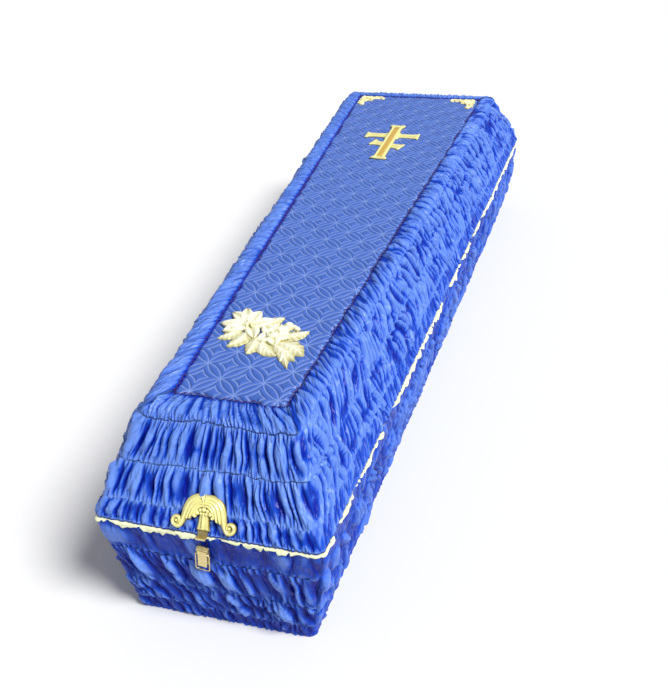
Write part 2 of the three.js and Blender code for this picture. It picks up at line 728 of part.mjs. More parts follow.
// The base: its origin is the pin, which the lever turns on.
function latchBase() {
  const back = -LATCH_PIN_OUT;
  const face = back + LATCH_SHEET;
  const top = LATCH_PIN_DROP;
  const plate = acrossLatch(
    [[back, top], [back, top - LATCH_BASE_LENGTH], [face, top - LATCH_BASE_LENGTH], [face, top]],
    LATCH_BASE_WIDTH);
  const earProfile = [[back, top], [back, -knuckleRadius], ...arcPoints(0, 0, knuckleRadius, -90, 60)];
  const ears = [-1, 1].map((side) => {
    const ear = acrossLatch(earProfile, earThickness);
    return ear.translate((side * (LATCH_BASE_WIDTH - earThickness)) / 2, 0, 0);
  });
  const hoodFoot = knuckleRadius + GAP + LATCH_SHEET;
  const hood = acrossLatch([
    [back, top], [back, top - LATCH_SHEET], [0, hoodFoot - LATCH_SHEET], [LATCH_SHEET, hoodFoot - LATCH_SHEET],
    [LATCH_SHEET, hoodFoot]], LATCH_BASE_WIDTH);
  const pin = new THREE.CylinderGeometry(LATCH_PIN_RADIUS, LATCH_PIN_RADIUS, LATCH_BASE_WIDTH, 8);
  return joined([plate, ...ears, hood, pin.rotateZ(Math.PI / 2)]);
}

// The lever: two knuckles over a flat plate with a bent tab, its origin on the pin.
function latchLever() {
  const half = LATCH_SHEET / 2;
  const foot = -LOOP_PIVOT_DROP - LEVER_LENGTH;
  return acrossLatch([
    ...arcPoints(0, 0, knuckleRadius, -10, 190, 8),
    [-knuckleRadius, -LOOP_PIVOT_DROP],
    ...arcPoints(0, -LOOP_PIVOT_DROP, knuckleRadius, 190, 240, 2),
    [-half, -LOOP_PIVOT_DROP - knuckleRadius - half],
    [-half, foot + LEVER_TAB],
    [LATCH_SHEET, foot],
    [LATCH_SHEET + half, foot + half],
    [half, foot + LEVER_TAB],
    [half, -LOOP_PIVOT_DROP - knuckleRadius - half],
    ...arcPoints(0, -LOOP_PIVOT_DROP, knuckleRadius, -60, 10, 2),
  ], LEVER_WIDTH, [
    [0, 0, LATCH_PIN_RADIUS + LATCH_FIT],
    [0, -LOOP_PIVOT_DROP, WIRE_RADIUS + LATCH_FIT],
  ]);
}

// The wire loop: a rounded rectangle of wire that hangs from the lever's second knuckle.
function latchLoop() {
  const [half, bend, sides] = [LOOP_WIDTH / 2, 4, 8];
  const corners = [[half, 0, 0], [-half, 0, 90], [-half, -LOOP_LENGTH, 180], [half, -LOOP_LENGTH, 270]];
  const rings = [];
  for (const [x, height, turn] of corners) {
    for (let k = 0; k <= 3; k += 1) {
      const angle = degrees(turn + 30 * k);
      const out = new THREE.Vector3(Math.cos(angle), Math.sin(angle), 0);
      const centre = new THREE.Vector3(
        x - Math.sign(x) * bend, height + (height === 0 ? -bend : bend), 0).addScaledVector(out, bend);
      const section = [];
      for (let s = 0; s < sides; s += 1) {
        const around = (2 * Math.PI * s) / sides;
        const point = centre.clone().addScaledVector(out, WIRE_RADIUS * Math.cos(around));
        section.push(point.setZ(WIRE_RADIUS * Math.sin(around)));
      }
      rings.push(section);
    }
  }
  return loft(rings, true);
}

// The hook: a plate on the lid's slope with a web out of it and a lip up from the web. Its
// origin is where the wire's middle comes to lie in the throat.
function hookPlate(seamOut, seamHeight) {
  const along = new THREE.Vector2(-Math.cos(FOOT_SLOPE), Math.sin(FOOT_SLOPE));
  const off = new THREE.Vector2(Math.sin(FOOT_SLOPE), Math.cos(FOOT_SLOPE));
  const onSlope = (up, rise) => [
    seamOut + along.x * up + off.x * rise, seamHeight + along.y * up + off.y * rise];
  const webTop = -WIRE_RADIUS - GAP;
  const webBottom = webTop - LATCH_SHEET;
  const lipIn = WIRE_RADIUS + GAP;
  const plateFace = GAP + LATCH_SHEET;
  const outAt = (height) => {
    const up = (height - seamHeight - off.y * plateFace) / along.y;
    return onSlope(up, plateFace)[0];
  };
  return acrossLatch([
    onSlope(4, GAP),
    onSlope(4, plateFace),
    [outAt(webBottom), webBottom],
    [lipIn + LATCH_SHEET, webBottom],
    [lipIn + LATCH_SHEET, webTop + HOOK_THROAT],
    [lipIn, webTop + HOOK_THROAT],
    [lipIn, webTop],
    [outAt(webTop), webTop],
    onSlope(SCROLL_BASE - GAP, plateFace),
    onSlope(SCROLL_BASE - GAP, GAP),
  ], HOOK_WIDTH);
}

// A group whose own Y runs up a face at the foot end and whose own Z points out of it.
function onFootFace(x, y, z, tilt, meshes, turn = 0) {
  const group = new THREE.Group();
  group.position.set(x, y, z);
  group.rotation.set(tilt, 0, 0);
  const turned = new THREE.Group();
  turned.rotation.z = turn;
  turned.add(...meshes);
  group.add(turned);
  return group;
}

const coffin = new THREE.Group();
coffin.add(
  piece('box_boards', boxBoards(), WOOD),
  piece('box_cover', boxCover(), SATIN),
  piece('lining', lining(), CREAM),
  piece('lid_boards', lidBoards(), WOOD),
  piece('lid_cover', lidCover(), SATIN),
  piece('quilted_panel', quiltedPanel(), QUILTING),
);

function onPanel(mesh, x, y) {
  mesh.position.set(x, y, PANEL_TOP + GAP);
  return mesh;
}

const leftCorner = mirrored(cornerOrnament());
const cornerX = panelPlan.headHalf - CORNER_INSET;
const cornerY = panelPlan.headY - CORNER_INSET;
coffin.add(
  onPanel(piece('cross', cross(), GOLD_PLASTIC), CROSS_X, panelPlan.headY - CROSS_TO_HEAD),
  onPanel(piece('flower_spray', flowerSpray(), PALE_GOLD), SPRAY_X, panelPlan.footY + SPRAY_TO_FOOT),
  onPanel(piece('corner_ornament_left', leftCorner, PALE_GOLD), -cornerX, cornerY),
  onPanel(piece('corner_ornament_right', cornerOrnament(), PALE_GOLD), cornerX, cornerY),
);

// The scroll plate lies on the ridges of the lid's foot slope.
const scroll = piece('scroll_plate', scrollPlate(), GOLD_PLASTIC);
scroll.position.set(0, SCROLL_BASE, GAP);
coffin.add(onFootFace(0, rimPlan.footY, LID_BASE, FOOT_SLOPE, [scroll]));

// The latch's base lies on the box's top band, and its pin is the pivot that all of it is set by.
const pinHeight = BOX_HEIGHT - LATCH_TOP_DROP - LATCH_PIN_DROP;
const pinY = rimPlan.footY - GAP - LATCH_PIN_OUT;
const loop = piece('latch_loop', latchLoop(), BRASS);
loop.position.y = -LOOP_PIVOT_DROP;
const latch = [
  piece('latch_base', latchBase(), BRASS),
  piece('latch_lever', latchLever(), BRASS),
  loop,
];
coffin.add(onFootFace(LATCH_X, pinY, pinHeight, Math.PI / 2, latch, degrees(-LATCH_TURN)));

// The hook stands straight over the latch's pin, as far up as the closed loop reaches.
const hookHeight = pinHeight - LOOP_PIVOT_DROP + LOOP_LENGTH;
const hook = piece('hook_plate', hookPlate(-LATCH_PIN_OUT - GAP, LID_BASE - hookHeight), BRASS);
coffin.add(onFootFace(0, pinY, hookHeight, Math.PI / 2, [hook]));

export default coffin;
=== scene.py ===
# The looks of a four-sided coffin covered in ruched satin, with a quilted panel on its lid.
# Lengths are in millimetres, in the part's own frame, until a mesh is made in metres.
import math
from collections import namedtuple

import bpy
import numpy as np
from mathutils import Matrix, Vector


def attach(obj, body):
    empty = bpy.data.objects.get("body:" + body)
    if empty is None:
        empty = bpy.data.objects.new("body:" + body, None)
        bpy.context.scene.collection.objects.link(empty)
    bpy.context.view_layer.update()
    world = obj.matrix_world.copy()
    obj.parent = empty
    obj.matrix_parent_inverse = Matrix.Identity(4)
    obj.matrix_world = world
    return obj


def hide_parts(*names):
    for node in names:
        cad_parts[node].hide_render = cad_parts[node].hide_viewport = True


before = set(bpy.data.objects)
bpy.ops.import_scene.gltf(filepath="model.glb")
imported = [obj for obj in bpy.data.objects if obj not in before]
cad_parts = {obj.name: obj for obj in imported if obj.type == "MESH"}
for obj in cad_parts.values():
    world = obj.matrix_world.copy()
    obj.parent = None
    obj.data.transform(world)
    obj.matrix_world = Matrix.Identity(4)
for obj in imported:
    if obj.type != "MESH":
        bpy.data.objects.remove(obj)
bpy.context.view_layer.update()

METRE = 1000.0
SHELL_BODY = "coffin"

# The coffin's sizes, as its solids have them
LENGTH = 2000
FOOT_RIM_WIDTH = 464
HEAD_RIM_WIDTH = 700
SIDE_LEAN_RUN = 40
HEAD_LEAN_RUN = 38
BOX_HEIGHT = 246
LID_RISE = 167
SIDE_SLOPE_RUN = 81
FOOT_SLOPE_RUN = 128
HEAD_SLOPE_RUN = 70
SIDE_MARGIN = 43
FOOT_MARGIN = 54
HEAD_MARGIN = 33
WALL = 18
FLOOR = 18
PUFF = 12
LID_BASE = 248.4
LID_TOP = LID_BASE + LID_RISE
SLOPE_RISE = LID_RISE + 8
PANEL_TOP = LID_TOP + 8

# The camera: where it stands, how it is turned, and its lens
CAMERA_PLACE = (0.604, -1.855, 1.359)
CAMERA_YAW = 16.35
CAMERA_PITCH = 34.72
CAMERA_ROLL = -3.44
CAMERA_LENS = 41.94
CAMERA_SHIFT = (-0.0645, -0.0144)


# Plans: four-sided outlines given by their two ends

Plan = namedtuple("Plan", "foot_y head_y foot_half head_half")
# An edge faces one way where its outward direction has more than this share of it.
FACING = 0.7


def inset(plan, side, foot=None, head=None):
    """The plan with its edges moved inwards, or outwards where the distance is negative."""
    foot = side if foot is None else foot
    head = side if head is None else head
    taper = (plan.head_half - plan.foot_half) / (plan.head_y - plan.foot_y)
    return Plan(
        plan.foot_y + foot,
        plan.head_y - head,
        plan.foot_half + taper * foot - side,
        plan.head_half - taper * head - side,
    )


def between(a, b, share):
    return Plan(*(x + (y - x) * share for x, y in zip(a, b)))


def unit(vectors):
    return vectors / np.linalg.norm(vectors, axis=-1, keepdims=True)


def outline(plan, radius, steps, corner_steps):
    """Points round the plan from its left foot corner, with their outward directions."""
    corners = np.array([
        (-plan.foot_half, plan.foot_y),
        (plan.foot_half, plan.foot_y),
        (plan.head_half, plan.head_y),
        (-plan.head_half, plan.head_y),
    ])
    edges = unit(np.roll(corners, -1, axis=0) - corners)
    normals = np.stack([edges[:, 1], -edges[:, 0]], axis=1)
    arcs = []
    for i in range(4):
        before, after = normals[i - 1], normals[i]
        centre = corners[i] - (before + after) * radius / (1 + before @ after)
        turn = math.acos(before @ after) * np.linspace(0, 1, corner_steps + 1)[:, None]
        across = np.array([-before[1], before[0]])
        outs = before * np.cos(turn) + across * np.sin(turn)
        arcs.append((centre + outs * radius, outs))
    places, directions = [], []
    for i in range(4):
        places.append(arcs[i][0])
        directions.append(arcs[i][1])
        share = np.arange(1, steps[i])[:, None] / steps[i]
        start, end = arcs[i][0][-1], arcs[(i + 1) % 4][0][0]
        places.append(start + (end - start) * share)
        directions.append(np.repeat(normals[i][None], steps[i] - 1, axis=0))
    return np.concatenate(places), np.concatenate(directions)


def gaps_round(places):
    """The distance from each place to the next one, round a closed line."""
    return np.linalg.norm(np.roll(places, -1, axis=0) - places, axis=1)


def run_along(gaps):
    """How far along a line each place is, from the gaps between them."""
    return np.concatenate([[0], np.cumsum(gaps)])


def raised(flat, z):
    """Points of a plan with their heights."""
    return np.column_stack([flat, np.broadcast_to(z, len(flat))])


RIM = Plan(-LENGTH / 2, LENGTH / 2, FOOT_RIM_WIDTH / 2, HEAD_RIM_WIDTH / 2)
BASE = inset(RIM, SIDE_LEAN_RUN, 0, HEAD_LEAN_RUN)
SHOULDER = inset(RIM, SIDE_SLOPE_RUN, FOOT_SLOPE_RUN, HEAD_SLOPE_RUN)
PANEL = inset(SHOULDER, SIDE_MARGIN, FOOT_MARGIN, HEAD_MARGIN)
BOX_RIM = inset(RIM, PUFF)
BOX_BASE = inset(BASE, PUFF)
LID_RIM = inset(RIM, PUFF)
LID_SHOULDER = inset(between(RIM, SHOULDER, LID_RISE / SLOPE_RISE), PUFF)


# Meshes

def add_piece(name, points, faces, material, replaces=(), smooth=True):
    """A piece from points in millimetres, which rides on the coffin."""
    mesh = bpy.data.meshes.new(name)
    mesh.from_pydata((np.asarray(points) / METRE).tolist(), [], [list(map(int, f)) for f in faces])
    mesh.materials.append(material)
    mesh.polygons.foreach_set("use_smooth", [smooth] * len(mesh.polygons))
    mesh.update()
    piece = bpy.data.objects.new(name, mesh)
    bpy.context.scene.collection.objects.link(piece)
    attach(piece, SHELL_BODY)
    if replaces:
        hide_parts(*replaces)
    return piece


def grid_faces(rows, columns, wraps):
    """Four-sided faces over rows and columns of points, joined round where wraps is true."""
    last = columns if wraps else columns - 1
    row, column = np.meshgrid(np.arange(rows - 1), np.arange(last), indexing="ij")
    after = (column + 1) % columns
    low, high = row * columns, (row + 1) * columns
    faces = np.stack([low + column, low + after, high + after, high + column], axis=-1)
    return faces.reshape(-1, 4)


def smoothstep(low, high, value):
    share = np.clip((value - low) / (high - low), 0, 1)
    return share * share * (3 - 2 * share)


NOISE_ROWS = 64


def wander(seed, s, v, girth, wave, v_wave=1.0):
    """Smooth noise from -1 to 1, the same again after one girth. wave is its size along s."""
    cells = max(2, round(girth / wave))
    table = np.random.default_rng(seed).uniform(-1, 1, (cells, NOISE_ROWS))
    across = s / girth * cells
    along = v / v_wave
    i = np.floor(across).astype(int)
    j = np.floor(along).astype(int)
    a = smoothstep(0, 1, across - i)
    b = smoothstep(0, 1, along - j)

    def corner(p, q):
        return table[(i + p) % cells, (j + q) % NOISE_ROWS]

    low = corner(0, 0) * (1 - a) + corner(1, 0) * a
    high = corner(0, 1) * (1 - a) + corner(1, 1) * a
    return low * (1 - b) + high * b


def layered(layers, seed, s, v, girth):
    """Noise in layers, each with its height, its size along s and its size along v."""
    return sum(
        height * wander(seed + k, s, v, girth, wave, v_wave)
        for k, (height, wave, v_wave) in enumerate(layers)
    )


# Ruched satin

# A band of folds between two gather threads: how far up the cloth it ends, how many rows of
# points it has, its fold width as a share of the usual one, its lean, the height of its ridges and
# valleys, how steeply it swells from its two ends, the lower the number the steeper, and the
# height of the gathers at its upper end
Band = namedtuple("Band", "end rows width lean height floor rise gathers", defaults=((0.5, 0.5), 5.0))

CORNER_STEPS = 7
CORNER_RADIUS = 10
# How high a gather thread lies, how far it lifts the painted shade of the cloth on it, and its puckers'
# width
THREAD_HEIGHT = 5.0
THREAD_SHADE = 4.0
PUCKER_WIDTH = 0.5
# How far a fold bulges over its neighbour, and the share of a crease in its round ridge
FOLD_BULGE = 0.06
CREASED = 0.5
# How folds stray from a straight line, in layers of noise
DRIFT = ((0.45, 2.6, 0.7), (0.2, 0.9, 0.3))
SWAY = ((0.9, 5, 90), (0.35, 1.4, 34))
LONG_SEED = 900
# Families of folds on a long side: how far each leans to the foot on its way down, and its width
SIDE_FAMILIES = ((0.1, 1.0), (-0.4, 0.8))
SIDE_LEAN = 0.1
# Crumples of a long side: their width and lean, and how far up from the rim they reach
FINE_WIDTH = 0.42
FINE_LEAN = 0.45
FINE_BELOW = 110
LAST_THREAD = 0.97
# The height below which cloth is in full painted shade, and the long sides' mean painted shade
SHADED_BELOW = 3.0
MIDDLE_SHADE = 0.4
# How calm the last band is at the head and on the left, and how far it stays below its ridges there
CALM = 0.42
CALM_SINK = 3


def fold_lines(seed, girth, pitch):
    """Valleys round the girth, one uneven fold after another, and each fold's height."""
    draw = np.random.default_rng(seed)
    valleys = [0.0]
    while valleys[-1] < girth:
        valleys.append(valleys[-1] + pitch * draw.uniform(0.45, 1.6))
    valleys = np.array(valleys) * (girth / valleys[-1])
    return valleys, draw.uniform(0.35, 1, len(valleys) - 1), draw.uniform(0.55, 1.7, len(valleys) - 1)


def fold_shape(lines, place, girth, sharp):
    """The ridge's height from 0 to 1 at each place, and its side pull. A fold leans to one flank."""
    valleys, heights, flanks = lines
    place = np.mod(place, girth)
    k = np.clip(np.searchsorted(valleys, place, side="right") - 1, 0, len(heights) - 1)
    width = valleys[k + 1] - valleys[k]
    t = np.clip((place - valleys[k]) / width, 0, 1) ** flanks[k]
    round_ridge = np.clip(4 * t * (1 - t), 0, 1) ** sharp
    creased_ridge = 1 - np.abs(2 * t - 1)
    ridge = heights[k] * (round_ridge + (creased_ridge - round_ridge) * CREASED)
    return ridge, -np.sin(2 * np.pi * t) * width


def loose_folds(seed, place, v, girth, wave, v_wave):
    """Folds that die out in places, from 0 in a sharp valley to 1 on a round ridge."""
    return np.clip(np.abs(wander(seed, place, v, girth, wave, v_wave)) * 2.0, 0, 1) ** 0.7


def long_folds(u, run, girth, pitch, turn):
    """Folds of a long side, from 0 to 1: patches of two families, which meet in creases, and
    finer crumples towards the rim."""
    sway = layered(SWAY, LONG_SEED + 1, u, run, girth)
    patch = smoothstep(-0.3, 0.3, wander(LONG_SEED + 3, u, run, girth, 2.4, 48))
    bold = 0
    for k, (lean, width) in enumerate(SIDE_FAMILIES):
        slant = u - lean * turn * run / pitch + sway
        ridge, _ = fold_shape(fold_lines(LONG_SEED + 10 + k, girth, width), slant, girth, 0.75)
        broken = loose_folds(LONG_SEED + 20 + k, slant, run, girth, 1.5, 40)
        bold = bold + ridge * (0.35 + 0.65 * broken) * (patch if k else 1 - patch)
    slant = u - FINE_LEAN * turn * run / pitch + 1.4 * sway
    crumple, _ = fold_shape(fold_lines(LONG_SEED + 30, girth, FINE_WIDTH), slant, girth, 0.8)
    broken = loose_folds(LONG_SEED + 31, slant, run, girth, 0.7, 22)
    crumple = 0.18 + 0.62 * crumple * broken
    bold = np.clip(1.5 * bold - 0.15, 0, 1)
    fine = np.clip(0.9 * (1 - run / FINE_BELOW) + 0.6 * wander(LONG_SEED + 4, u, run, girth, 3, 50), 0, 1)
    return bold + (crumple - bold) * 0.85 * fine


def ruched_band(band, seed, u, v, run, girth, span, pitch, side, turn):
    """Height over the boards, the height that tells its painted shade and the side pull in one band.

    v runs from 0 to 1 across the band. u counts usual fold widths round the girth, and run is how
    far up the cloth lies. side is 1 along the long sides, where long folds cross the loose gathers,
    and turn is 1 on the right, -1 on the left."""
    lean = band.lean * (1 - side) * span / pitch * (1 + 0.4 * wander(seed + 1, u, v * 0, girth, 11))
    drift = layered(DRIFT, seed + 2, u, v, girth)
    bent = u + lean * (v - 0.5) + drift * np.sin(np.pi * v)
    pleat, pull = fold_shape(fold_lines(seed + 4, girth, band.width), bent, girth, 0.85)
    loose = loose_folds(seed + 5, bent + 0.3 * drift, v, girth, 1.7 * band.width, 0.9)
    gather, _ = fold_shape(fold_lines(seed + 7, girth, 0.42 * band.width), bent, girth, 0.9)
    edge = np.minimum(v, 1 - v) + 0.14 * wander(seed + 8, u, v, girth, 1.2, 0.6)
    whole = smoothstep(0.04, 0.32, edge)
    even = pleat * (0.5 + 0.5 * loose) * whole + (0.62 * gather + 0.22 * pleat) * (1 - whole)
    uneven = long_folds(u, run, girth, pitch, turn) + 0.1 * gather
    ridge = even + (uneven - even) * side
    steep = np.where(v < 0.5, band.rise[0], band.rise[1])
    swell = np.clip(np.sin(np.pi * v), 0, 1) ** steep
    slack = side * (0.5 + 0.6 * wander(seed + 11, u, v * 0, girth, 5))
    swell = swell + (1 - swell) * np.clip(slack, 0, 1) * (band.end < LAST_THREAD)
    height = band.floor + (band.height - band.floor) * np.clip(ridge * 1.2, 0, 1)
    puckers = [
        fold_shape(fold_lines(seed + 9 + end, girth, PUCKER_WIDTH), u, girth, 0.7)[0]
        for end in (0, 1)
    ]
    thread = THREAD_HEIGHT * (1 + puckers[0]) * (1 - v) + band.gathers * (1 + puckers[1]) * v
    height = thread * (1 - swell) + np.maximum(height, 1.2) * swell
    shade = height + THREAD_SHADE * (1 - swell) * max(band.gathers / THREAD_HEIGHT, 0.6)
    return height, shade, pull * pitch * swell * whole * FOLD_BULGE * (1 - side)


def gather_line(seed, u, girth):
    """How far a gather thread strays from its level, in millimetres."""
    return 3.5 * wander(seed, u, u * 0, girth, 2.2) + 1.6 * wander(seed + 50, u, u * 0, girth, 0.5)


def band_rows(count):
    """Shares across a band, closer together by its threads."""
    even = np.arange(count) / count
    return even - 0.09 * np.sin(2 * np.pi * even)


def ruched_points(steps, bands, seed, pitches, path, plan, depth, shading):
    """Rows of points over ruched cloth, how much painted shade each has from lying deep in a fold, and its
    place on the cloth.

    path(q) gives places and directions on what the cloth covers. shading is how high a fold stands before it
    has no painted shade, and how much of the painted shade's contrast the long sides have."""
    lit_above, side_contrast = shading
    flat, outs = outline(plan, CORNER_RADIUS, steps, CORNER_STEPS)
    gaps = gaps_round(flat)
    side = smoothstep(0.6, 0.95, np.abs(outs[:, 0]))
    turn = np.sign(outs[:, 0])
    # By its last thread the cloth is puffed out smoothly at the head and on the left.
    calm = CALM * smoothstep(0.6, 0.95, np.maximum(outs[:, 1], -outs[:, 0]))
    pitch = pitches[0] + (pitches[1] - pitches[0]) * side
    u = run_along(gaps / pitch)[:-1]
    girth = (gaps / pitch).sum()
    s = run_along(gaps)[:-1]
    tangent = np.stack([-outs[:, 1], outs[:, 0], 0 * s], axis=1)
    rows, painted_shades, cloth = [], [], []
    start = 0.0
    for index, band in enumerate(bands):
        last = index + 1 == len(bands)
        shares = band_rows(band.rows)
        if last:
            shares = np.append(shares, 1.0)
        low_line = 0 if index == 0 else gather_line(seed + 100 + index, u, girth)
        high_line = 0 if last else gather_line(seed + 101 + index, u, girth)
        span = (band.end - start) * depth
        for v in shares:
            q = start + (band.end - start) * v + (low_line * (1 - v) + high_line * v) / depth + 0 * s
            height, shade, pull = ruched_band(
                band, seed + 20 * index, u, v + 0 * s, q * depth, girth, span, pitch, side, turn)
            if last:
                smooth = calm * math.sin(math.pi * v) ** 0.5
                shade = shade + (band.height - CALM_SINK - height) * smooth
                height = height + (band.height - CALM_SINK - height) * smooth
            places, normals = path(q)
            rows.append(places + normals * height[:, None] + tangent * pull[:, None])
            # Cloth low in a fold gets painted shade, and on the long sides the painted shade is pulled
            # towards its mean.
            painted_shade = 1 - smoothstep(SHADED_BELOW, lit_above, shade)
            painted_shades.append(painted_shade + (MIDDLE_SHADE - painted_shade) * side * (1 - side_contrast))
            lean = band.lean * (1 - side) - SIDE_LEAN * side * turn
            cloth.append(np.stack([s + lean * q * depth, q * depth, 0 * s], axis=1))
        start = band.end
    return np.array(rows), np.array(painted_shades), np.array(cloth)


def with_hidden_rows(points, painted_shades, cloth, before=(), after=()):
    """The rows with others before and after them, which are tucked away and painted in full shade."""
    added = (len(before), len(after))
    points = np.array([*before, *points, *after])
    painted_shades = np.pad(painted_shades, (added, (0, 0)), constant_values=1)
    return points, painted_shades, np.pad(cloth, (added, (0, 0), (0, 0)), mode="edge")


def satin_piece(name, node, points, painted_shades, cloth):
    """A piece of satin, which keeps the painted shade of each point from how deep in the folds it lies, and
    its place on the cloth.
    """
    rows, columns, _ = points.shape
    piece = add_piece(name, points.reshape(-1, 3), grid_faces(rows, columns, True), SATIN, [node])
    shade = piece.data.attributes.new("painted_fold_shade", "FLOAT", "POINT")
    shade.data.foreach_set("value", painted_shades.ravel())
    place = piece.data.attributes.new("cloth_place", "FLOAT_VECTOR", "POINT")
    place.data.foreach_set("vector", cloth.ravel())
    return piece


def edge_steps(spacing):
    """How many steps to take along the foot's, the right, the head's and the left edge."""
    lengths = (FOOT_RIM_WIDTH, LENGTH, HEAD_RIM_WIDTH, LENGTH)
    return [max(2, round(length / gap)) for length, gap in zip(lengths, spacing)]


def column_points(plan, z, steps):
    places, outs = outline(plan, CORNER_RADIUS, steps, CORNER_STEPS)
    return raised(places, z), raised(outs, 0)


def slope_normals(low, high, outs):
    along = high - low
    normals = outs * along[:, 2:3]
    normals[:, 2] = -(along * outs).sum(axis=1)
    return unit(normals)


LID_SHOULDER_SOFTNESS = 0.05
LID_EDGE = 1.22
# How far the satin's path runs in under the panel, and how high the panel's edge is over the lid's top
PANEL_LAP = 4
PANEL_EDGE_LIFT = 1.5
# Cloth that is turned in: how far it reaches, and how far off the edge of the boards it lies
TUCK = 13
HEM_DROP = 0.5
# How high a lid fold stands before it has no painted shade, and how much of the painted contrast the long
# sides keep
LID_SHADING = (11, 0.85)
LID_BANDS = [
    Band(0.19, 9, 0.9, 0.1, 13, 3.2, (0.15, 0.4)),
    Band(0.56, 14, 1.1, 0.12, 18, 1.5),
    Band(0.96, 14, 1.1, -0.1, 18, 1.5),
    Band(LID_EDGE, 12, 1.2, 0.7, 15.5, 5.2, (0.4, 0.6), 1.0),
]
LID_STEPS = edge_steps((1.7, 2.7, 3.3, 3.0))


def lid_path():
    """Up the lid's slope, over its rounded shoulder and in to the quilted panel."""
    low, outs = column_points(LID_RIM, LID_BASE, LID_STEPS)
    high, _ = column_points(LID_SHOULDER, LID_TOP, LID_STEPS)
    edge, _ = column_points(inset(PANEL, PANEL_LAP), LID_TOP + PANEL_EDGE_LIFT, LID_STEPS)
    sloping = slope_normals(low, high, outs)
    upward = np.array([0, 0, 1.0])

    def straight(q):
        q = q[:, None]
        on_slope = low + (high - low) * np.minimum(q, 1)
        return on_slope + (edge - high) * np.maximum(q - 1, 0) / (LID_EDGE - 1)

    def path(q):
        start, end = 1 - LID_SHOULDER_SOFTNESS, 1 + LID_SHOULDER_SOFTNESS
        share = np.clip((q - start) / (end - start), 0, 1)[:, None]
        rounded = straight(0 * q + start) * (1 - share) ** 2
        rounded += high * 2 * share * (1 - share) + straight(0 * q + end) * share ** 2
        inside = ((q > start) & (q < end))[:, None]
        places = np.where(inside, rounded, straight(q))
        normals = sloping * (1 - share) + upward * share
        return places, unit(normals)

    return path


def lid_satin():
    points, painted_shades, cloth = ruched_points(
        LID_STEPS, LID_BANDS, 11, (19, 24), lid_path(), LID_RIM, 200, LID_SHADING)
    # The cloth is turned in under the lid's rim, and ends under the quilted panel.
    hem_z = LID_BASE - HEM_DROP
    turned_in, _ = column_points(inset(LID_RIM, TUCK), hem_z, LID_STEPS)
    hem = points[0] * [1, 1, 0] + [0, 0, hem_z]
    tucked, _ = column_points(inset(PANEL, TUCK), LID_TOP + HEM_DROP, LID_STEPS)
    rows = with_hidden_rows(points, painted_shades, cloth, [turned_in, hem], [tucked])
    piece = satin_piece("lid_satin", "lid_cover", *rows)
    return piece


BOX_STEPS = edge_steps((1.8, 2.8, 3.4, 3.1))
BOX_BANDS = [
    Band(0.14, 8, 0.8, 0.3, 12, 3),
    Band(0.38, 13, 1.0, 0.5, 20, 0.5, (0.4, 0.4)),
    Band(0.73, 16, 1.1, 0.4, 20, 0.5, (0.4, 0.4)),
    Band(1.0, 12, 1.9, 0.1, 12.5, 4.5, (0.5, 0.2)),
]
HEM_CLEARANCE = 0.8
# The same for the box, whose folds get more painted shade
BOX_SHADING = (15.5, 0.6)


def box_satin():
    low, outs = column_points(BOX_BASE, HEM_CLEARANCE, BOX_STEPS)
    high, _ = column_points(BOX_RIM, BOX_HEIGHT, BOX_STEPS)
    normals = slope_normals(low, high, outs)

    def path(q):
        return low + (high - low) * q[:, None], normals

    points, painted_shades, cloth = ruched_points(
        BOX_STEPS, BOX_BANDS, 401, (28, 32), path, BOX_RIM, BOX_HEIGHT, BOX_SHADING)
    points[..., 2] = np.clip(points[..., 2], HEM_CLEARANCE, BOX_HEIGHT)
    # The cloth is nailed down on the rim.
    nailed, _ = column_points(BOX_RIM, BOX_HEIGHT - HEM_DROP, BOX_STEPS)
    rows = with_hidden_rows(points, painted_shades, cloth, after=[nailed])
    piece = satin_piece("box_satin", "box_cover", *rows)
    return piece


# The quilted panel

QUILT_PITCH = 44.5
QUILT_NODE = (-98, -92)
QUILT_TURN = 0.02
SEAM_DEPTH = 1.6
PUFF_RUN = 9.0
PUFF_STEEPNESS = 2.2
# The seams are arcs. In cells of one unit, a star's seams sag by PETAL_SAG, and the same arcs at
# INNER_STAR of their size make the star inside it, which ends at its tips.
INNER_STAR = 0.48
PETAL_SAG = 0.125
TIP_STEEPNESS = 4.0
SEAM_RADIUS = (0.25 + PETAL_SAG ** 2) / (2 * PETAL_SAG)
SEAM_CENTRE = 0.5 + SEAM_RADIUS - PETAL_SAG
PANEL_CORNER = 12
PANEL_SPACING = 3.0
PANEL_EDGE_RUN = 9
# Waves over the whole panel: how high and how wide
WAVE_HEIGHT = 0.6
WAVE_RUN = 60
# How far the gathers pull the seamed edge in, how wide a pull is, and how far in it is felt
SCALLOP = 9.0
SCALLOP_RUN = 26
SCALLOP_REACH = 36


def seam_distance(x, y):
    """How far each place is from the nearest quilting seam."""
    dx, dy = x - QUILT_NODE[0], y - QUILT_NODE[1]
    a = (dx * math.cos(QUILT_TURN) + dy * math.sin(QUILT_TURN)) / QUILT_PITCH
    b = (-dx * math.sin(QUILT_TURN) + dy * math.cos(QUILT_TURN)) / QUILT_PITCH
    # In a lattice turned by 45 degrees, each cell is a four-pointed star between four petals.
    x = np.abs(np.mod((a + b) / 2, 1) - 0.5)
    y = np.abs(np.mod((b - a) / 2, 1) - 0.5)
    past_tip = np.maximum(np.maximum(x, y) - INNER_STAR / 2, 0)
    nearest = 1.0
    for size, steepness in ((1.0, 0.0), (INNER_STAR, TIP_STEEPNESS)):
        centre, radius = SEAM_CENTRE * size, SEAM_RADIUS * size
        for reach in (np.hypot(x - centre, y), np.hypot(x, y - centre)):
            nearest = np.minimum(nearest, np.abs(reach - radius) + steepness * past_tip)
    return nearest * math.sqrt(2) * QUILT_PITCH


def edge_pull(x, y):
    """How far the gathers pull the panel's seamed edge in, from a side's and from an end's edge."""
    by_side = 0.5 + 0.5 * wander(72, y + LENGTH / 2, y * 0, LENGTH, SCALLOP_RUN)
    by_end = 0.5 + 0.5 * wander(73, x + LENGTH / 4, x * 0, LENGTH / 2, SCALLOP_RUN)
    return SCALLOP * by_side, SCALLOP * by_end


